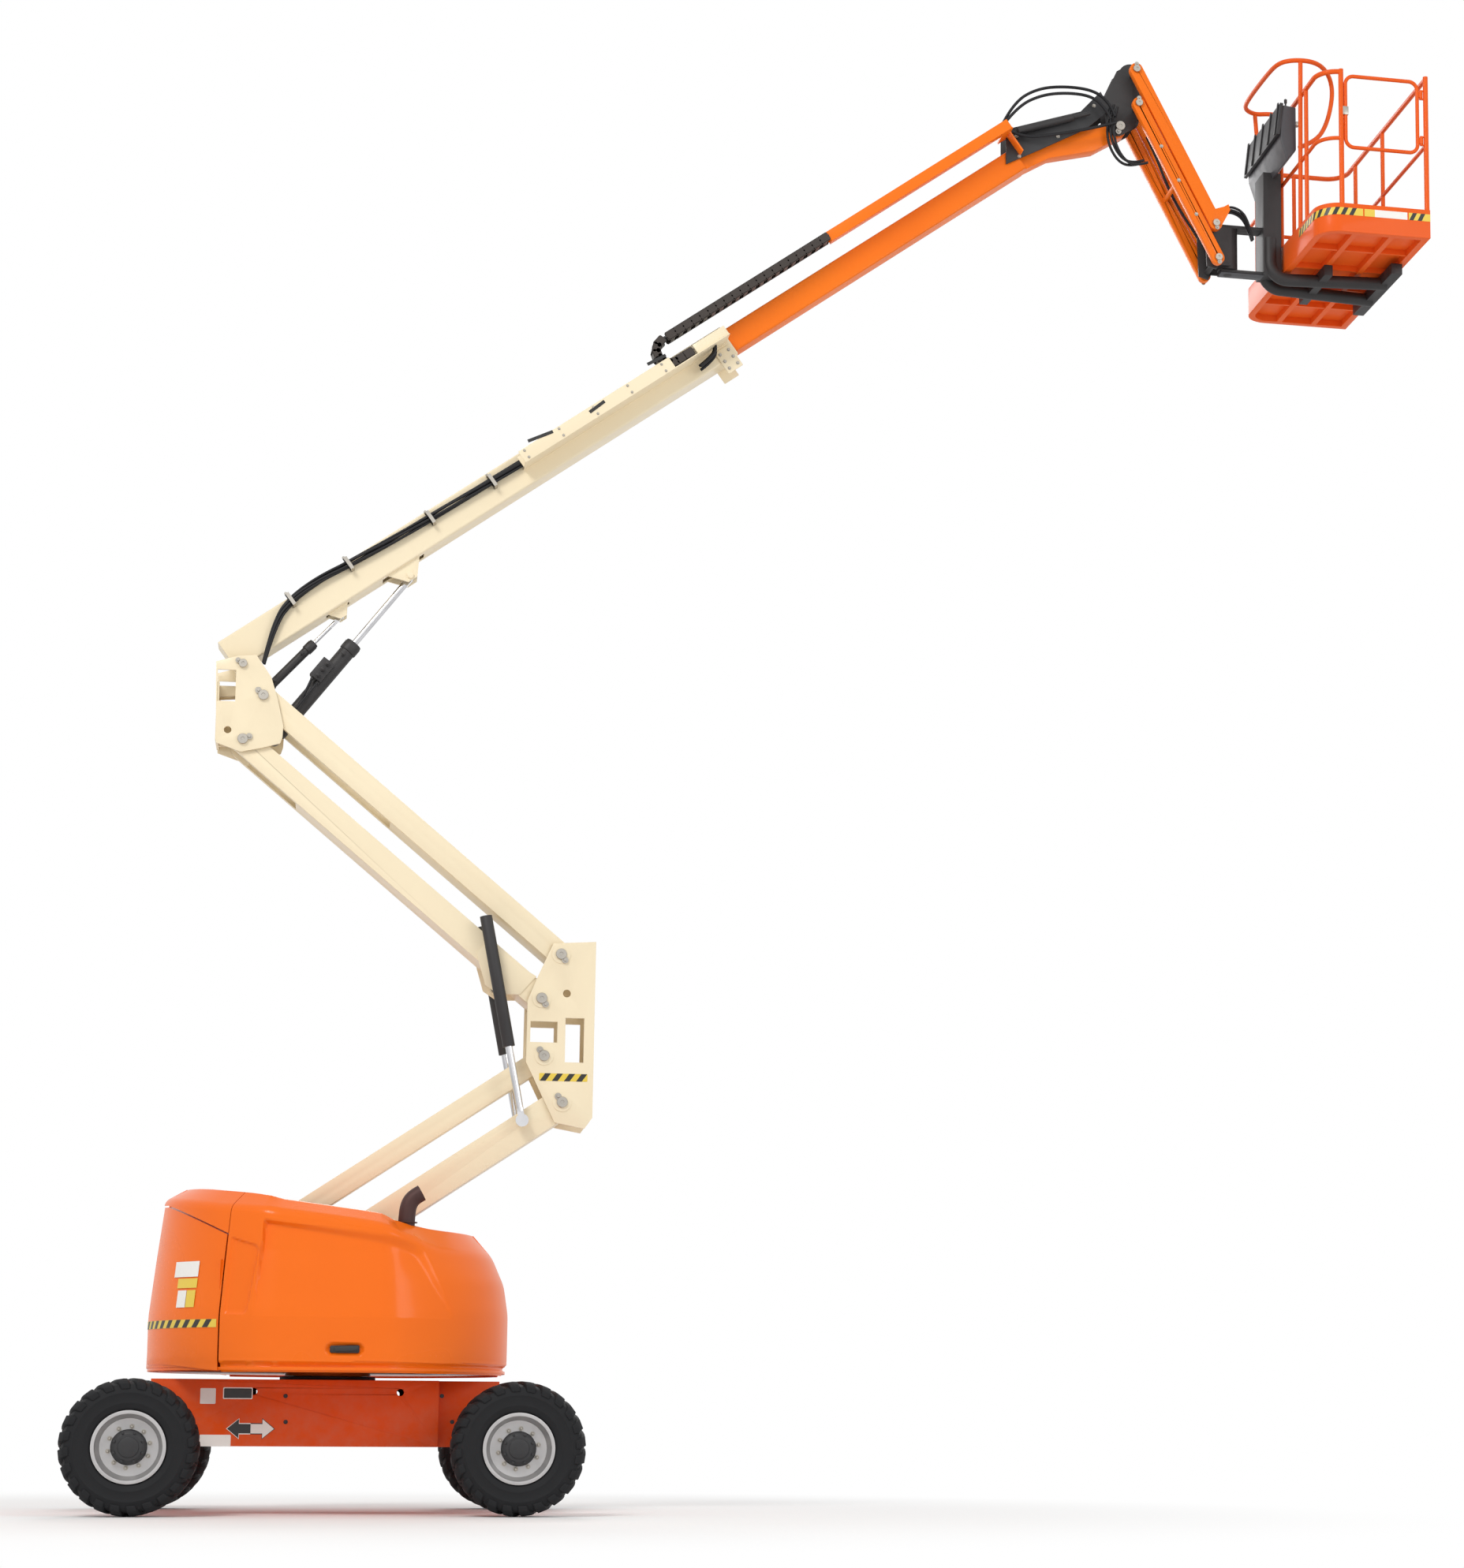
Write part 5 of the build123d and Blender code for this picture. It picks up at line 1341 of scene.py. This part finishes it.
def dressRotator(facts):
    centre = spot("platform_rotate")
    (back, front), half = (centre.x + x for x in facts["x"]), facts["half"]
    arms = Shape()
    for level, (low, high) in ((footHigh.z, facts["above"]), (footLow.z, facts["below"])):
        arms.block((back, centre.y - half, level + low), (front, centre.y + half, level + high), inFrame)
    arms.piece("rotator_arm_plates", "consoleGrey", "platform", "console_grey", 0.002)
    for tag, (y, reach) in facts["hoses"].items():
        route = [footHigh + Vector((x, y * share, z + reach)) for x, share, z in facts["route"]]
        x, share, z = facts["end"]
        hose("rotator_hose_" + tag, route + [footHigh + Vector((x, y * share, z))], 0.009, "jib_foot")


dressRotator(rotatorSet)

# Toe board: striped band and blank plates; s runs along the near side from the end of the round corner
floorLow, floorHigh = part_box("basket_floor")
toeLow = floorHigh[2] - 0.15
toeSet = {
    "corner": 0.165, "low": 0.066, "high": 0.118, "pitch": 0.06, "lean": 0.026, "thick": 0.0008,
    "runs": [(-0.56, 0.145), (0.475, 0.632)], "yellow": (0.155, 0.23), "pale": (0.23, 0.465),
    "endPlate": ((0.0, 0.03), (0.3, 0.12)), "farPlate": ((0.0, 0.03), (0.25, 0.12)),
}


def toePoint(s, z, lift, r):  # below 0, s goes back round the corner and along the end
    cx, cy = floorLow[0] + r, floorLow[1] + r
    arc = r * math.pi / 2
    if s >= 0:
        return Vector((cx + s, floorLow[1] - lift, z))
    if s > -arc:
        turn = -s / r
        return Vector((cx - (r + lift) * math.sin(turn), cy - (r + lift) * math.cos(turn), z))
    return Vector((floorLow[0] - lift, cy + (-s - arc), z))


def toeFilm(shape, sLow, sHigh, facts, lift=0.0006, lean=0.0):
    low, high, top = facts["low"], facts["high"], lift + facts["thick"]
    steps = max(2, int(abs(sHigh - sLow) / 0.012))
    rings = []
    for step in range(steps + 1):
        s = sLow + (sHigh - sLow) * step / steps
        ring = [(s, low, lift), (s + lean, high, lift), (s + lean, high, top), (s, low, top)]
        rings.append([toePoint(a, toeLow + b, c, facts["corner"]) for a, b, c in ring])
    shape.skin(rings)


def dressToeBoard(facts):
    place = ("platform", "basket_orange")
    band, stripes, pale = Shape(), Shape(), Shape()
    for low, high in facts["runs"]:
        toeFilm(band, low, high, facts)
        for index in range(int((high - low) / facts["pitch"])):
            start = low + index * facts["pitch"] + 0.004
            end = min(high - 0.03, start + facts["pitch"] * 0.5)
            toeFilm(stripes, start, end, facts, 0.0014, facts["lean"])
    toeFilm(band, *facts["yellow"], facts)
    toeFilm(pale, *facts["pale"], facts)
    band.piece("toe_band", "labelYellow", *place)
    stripes.piece("toe_band_stripes", "labelBlack", *place)
    pale.piece("toe_plate", "labelWhite", *place)
    end = plane((floorHigh[0], floorLow[1] + 0.3, toeLow), (0, 1, 0), (0, 0, 1), (1, 0, 0))
    label("toe_end_plate", end, *facts["endPlate"], "labelWhite", *place)
    far = plane((floorHigh[0] - 0.2, floorHigh[1], toeLow), (-1, 0, 0), (0, 0, 1), (0, 1, 0))
    label("toe_far_plate", far, *facts["farPlate"], "labelWhite", *place)


dressToeBoard(toeSet)


def makeFloorMesh(step, wide):
    mesh = Shape()
    (x0, y0, _), (x1, y1, _) = floorLow, floorHigh
    low = toeLow + 0.0005
    for index in range(int((x1 - x0 - 0.1) / step)):
        x = x0 + 0.06 + index * step
        mesh.block((x, y0 + 0.06, low), (x + wide, y1 - 0.06, low + 0.004), inFrame)
    for index in range(int((y1 - y0 - 0.14) / step)):
        y = y0 + 0.08 + index * step
        mesh.block((x0 + 0.05, y, low), (x1 - 0.05, y + wide, low + 0.003), inFrame)
    mesh.piece("floor_mesh", "meshSteel", "platform", "basket_orange")


makeFloorMesh(0.0475, 0.006)

# Guard hoop over the console and its two posts
hoopSet = {
    "tube": 0.016, "postTube": 0.0155,
    "route": [(6.4685, -0.42, 9.53), (6.6, -0.38, 9.6), (6.7, -0.33, 9.75), (6.762, -0.29, 9.98),
        (6.745, -0.3, 10.11), (6.64, -0.45, 10.125), (6.53, -0.525, 10.125), (6.4, -0.52, 10.125),
        (6.31, -0.45, 10.125), (6.288, -0.25, 10.125), (6.278, 0.2, 10.125), (6.3, 0.34, 10.125),
        (6.4, 0.415, 10.125), (6.5, 0.38, 10.125), (6.56, 0.3, 10.08), (6.4685, 0.26, 9.8)],
    "posts": [((6.4685, -0.43, 8.93), (6.45, -0.518, 10.112)), ((6.4685, 0.34, 8.93), (6.4, 0.408, 10.112))],
}


def makeHoop(facts):
    route = [at(*place) for place in facts["route"]]
    hose("guard_hoop", route, facts["tube"], "platform", "basketPaint", "basket_orange", 6)
    posts = Shape()
    for foot, head in facts["posts"]:
        posts.rod(at(*foot), at(*head), facts["postTube"], 24, 0.001)
    posts.piece("hoop_posts", "basketPaint", "platform", "basket_orange")


makeHoop(hoopSet)

# Console: shell, hooks, ribbed lid, sticks, and the stop button
consoleSet = {
    "outline": [(6.44, 9.5), (6.372, 9.42), (6.326, 9.56), (6.318, 9.7), (6.345, 9.826), (6.44, 9.815)],
    "y": (-0.44, 0.34), "hooks": (-0.38, -0.05, 0.28), "ribs": (0.03, 0.2, 0.39, 0.58, 0.74),
    "sticks": {"tall": [0.06, 0.5], "short": [0.15, 0.24, 0.33, 0.42]},
    "tall": [(0.02, 0), (0.016, 0.012), (0.008, 0.02), (0.006, 0.058), (0.011, 0.068), (0.011, 0.09),
        (0.004, 0.096)],
    "short": [(0.01, 0), (0.01, 0.006), (0.004, 0.008), (0.0035, 0.026), (0.005, 0.03)],
    "stop": [(0.014, 0), (0.014, 0.01), (0.02, 0.013), (0.02, 0.022), (0.012, 0.026)],
}


def makeConsole(facts):
    place = ("platform", "console_grey")
    console, hooks, lidRibs, sticks, stop = (Shape() for _ in range(5))
    console.plate(facts["outline"], *facts["y"])
    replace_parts(console.piece("console_shell", "consoleGrey", *place, 0.01, segments=3), "control_console")
    for y in facts["hooks"]:
        hooks.block((6.435, y - 0.02, 9.7), (6.475, y + 0.02, 9.73))
    hooks.piece("console_hooks", "boltZinc", *place, 0.002)
    lid = plane(at(6.317, -0.45, 9.6), (0, 1, 0), (0.012, 0, 0.1), (-0.1, 0, 0.012))
    lidRibs.block((0.0, 0.0, 0.0), (0.8, 0.024, 0.235), lid)
    for a in facts["ribs"]:
        lidRibs.block((a, 0.024, 0.008), (a + 0.022, 0.034, 0.245), lid)
    lidRibs.piece("console_lid", "tankBlack", *place, 0.003)
    panel = plane(at(6.35, -0.4, 9.823), (0, 1, 0), (1, 0, -0.1), (0.1, 0, 1))
    for size, places in facts["sticks"].items():
        for a in places:
            sticks.lathe(panel(a, 0.0, 0.045), (0, 0, 1), facts[size], 20)
    sticks.piece("console_sticks", "tankBlack", *place)
    stop.lathe(panel(0.285, 0.0, 0.07), (0, 0, 1), facts["stop"], 28)
    stop.piece("stop_button", "basketPaint", *place)


makeConsole(consoleSet)


def makeGateLatch():
    (x, y, low), (_, _, high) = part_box("gate")
    middle = (low + high) / 2
    latch = Shape()
    latch.block((x - 0.012, y - 0.004, middle - 0.03), (x + 0.03, y + 0.034, middle + 0.03), inFrame)
    latch.piece("gate_latch", "boltZinc", "gate", "basket_orange", 0.003)


makeGateLatch()
print("platform details ready")

# Exhaust: a wide stub that bends to its mouth, with a black disc just inside the mouth as painted shade, and
# a collar
exhaustSet = {
    "y": -0.75, "radius": 0.052, "collar": (0.455, 1.815),
    "route": [(0.455, 1.79), (0.456, 1.86), (0.466, 1.93), (0.497, 1.978), (0.545, 2.005)],
}


def makeExhaust(facts):
    route, radius = inPlane(facts["y"], facts["route"]), facts["radius"]
    stub = hose("exhaust_stub", route, radius, "hood_near", "exhaustBrown", "dark_steel", 8)
    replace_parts(stub, "exhaust_pipe")
    end = route[-1]
    way = (end - route[-2]).normalized()
    mouth, collar = Shape(), Shape()
    # the black disc inside the end is painted shade in the pipe's mouth
    mouth.rod(end - way * 0.006, end - way * 0.002, radius - 0.001, 32)
    mouth.piece("exhaust_mouth_painted_shade", "labelBlack", "hood_near", "dark_steel")
    x, z = facts["collar"]
    section = [(0.053, 0), (0.068, 0), (0.068, 0.006), (0.053, 0.006)]
    collar.lathe(at(x, facts["y"], z), (0.02, 0, 1), section, 40)
    collar.piece("exhaust_collar", "exhaustBrown", "hood_near", "dark_steel")


makeExhaust(exhaustSet)
print("exhaust ready")
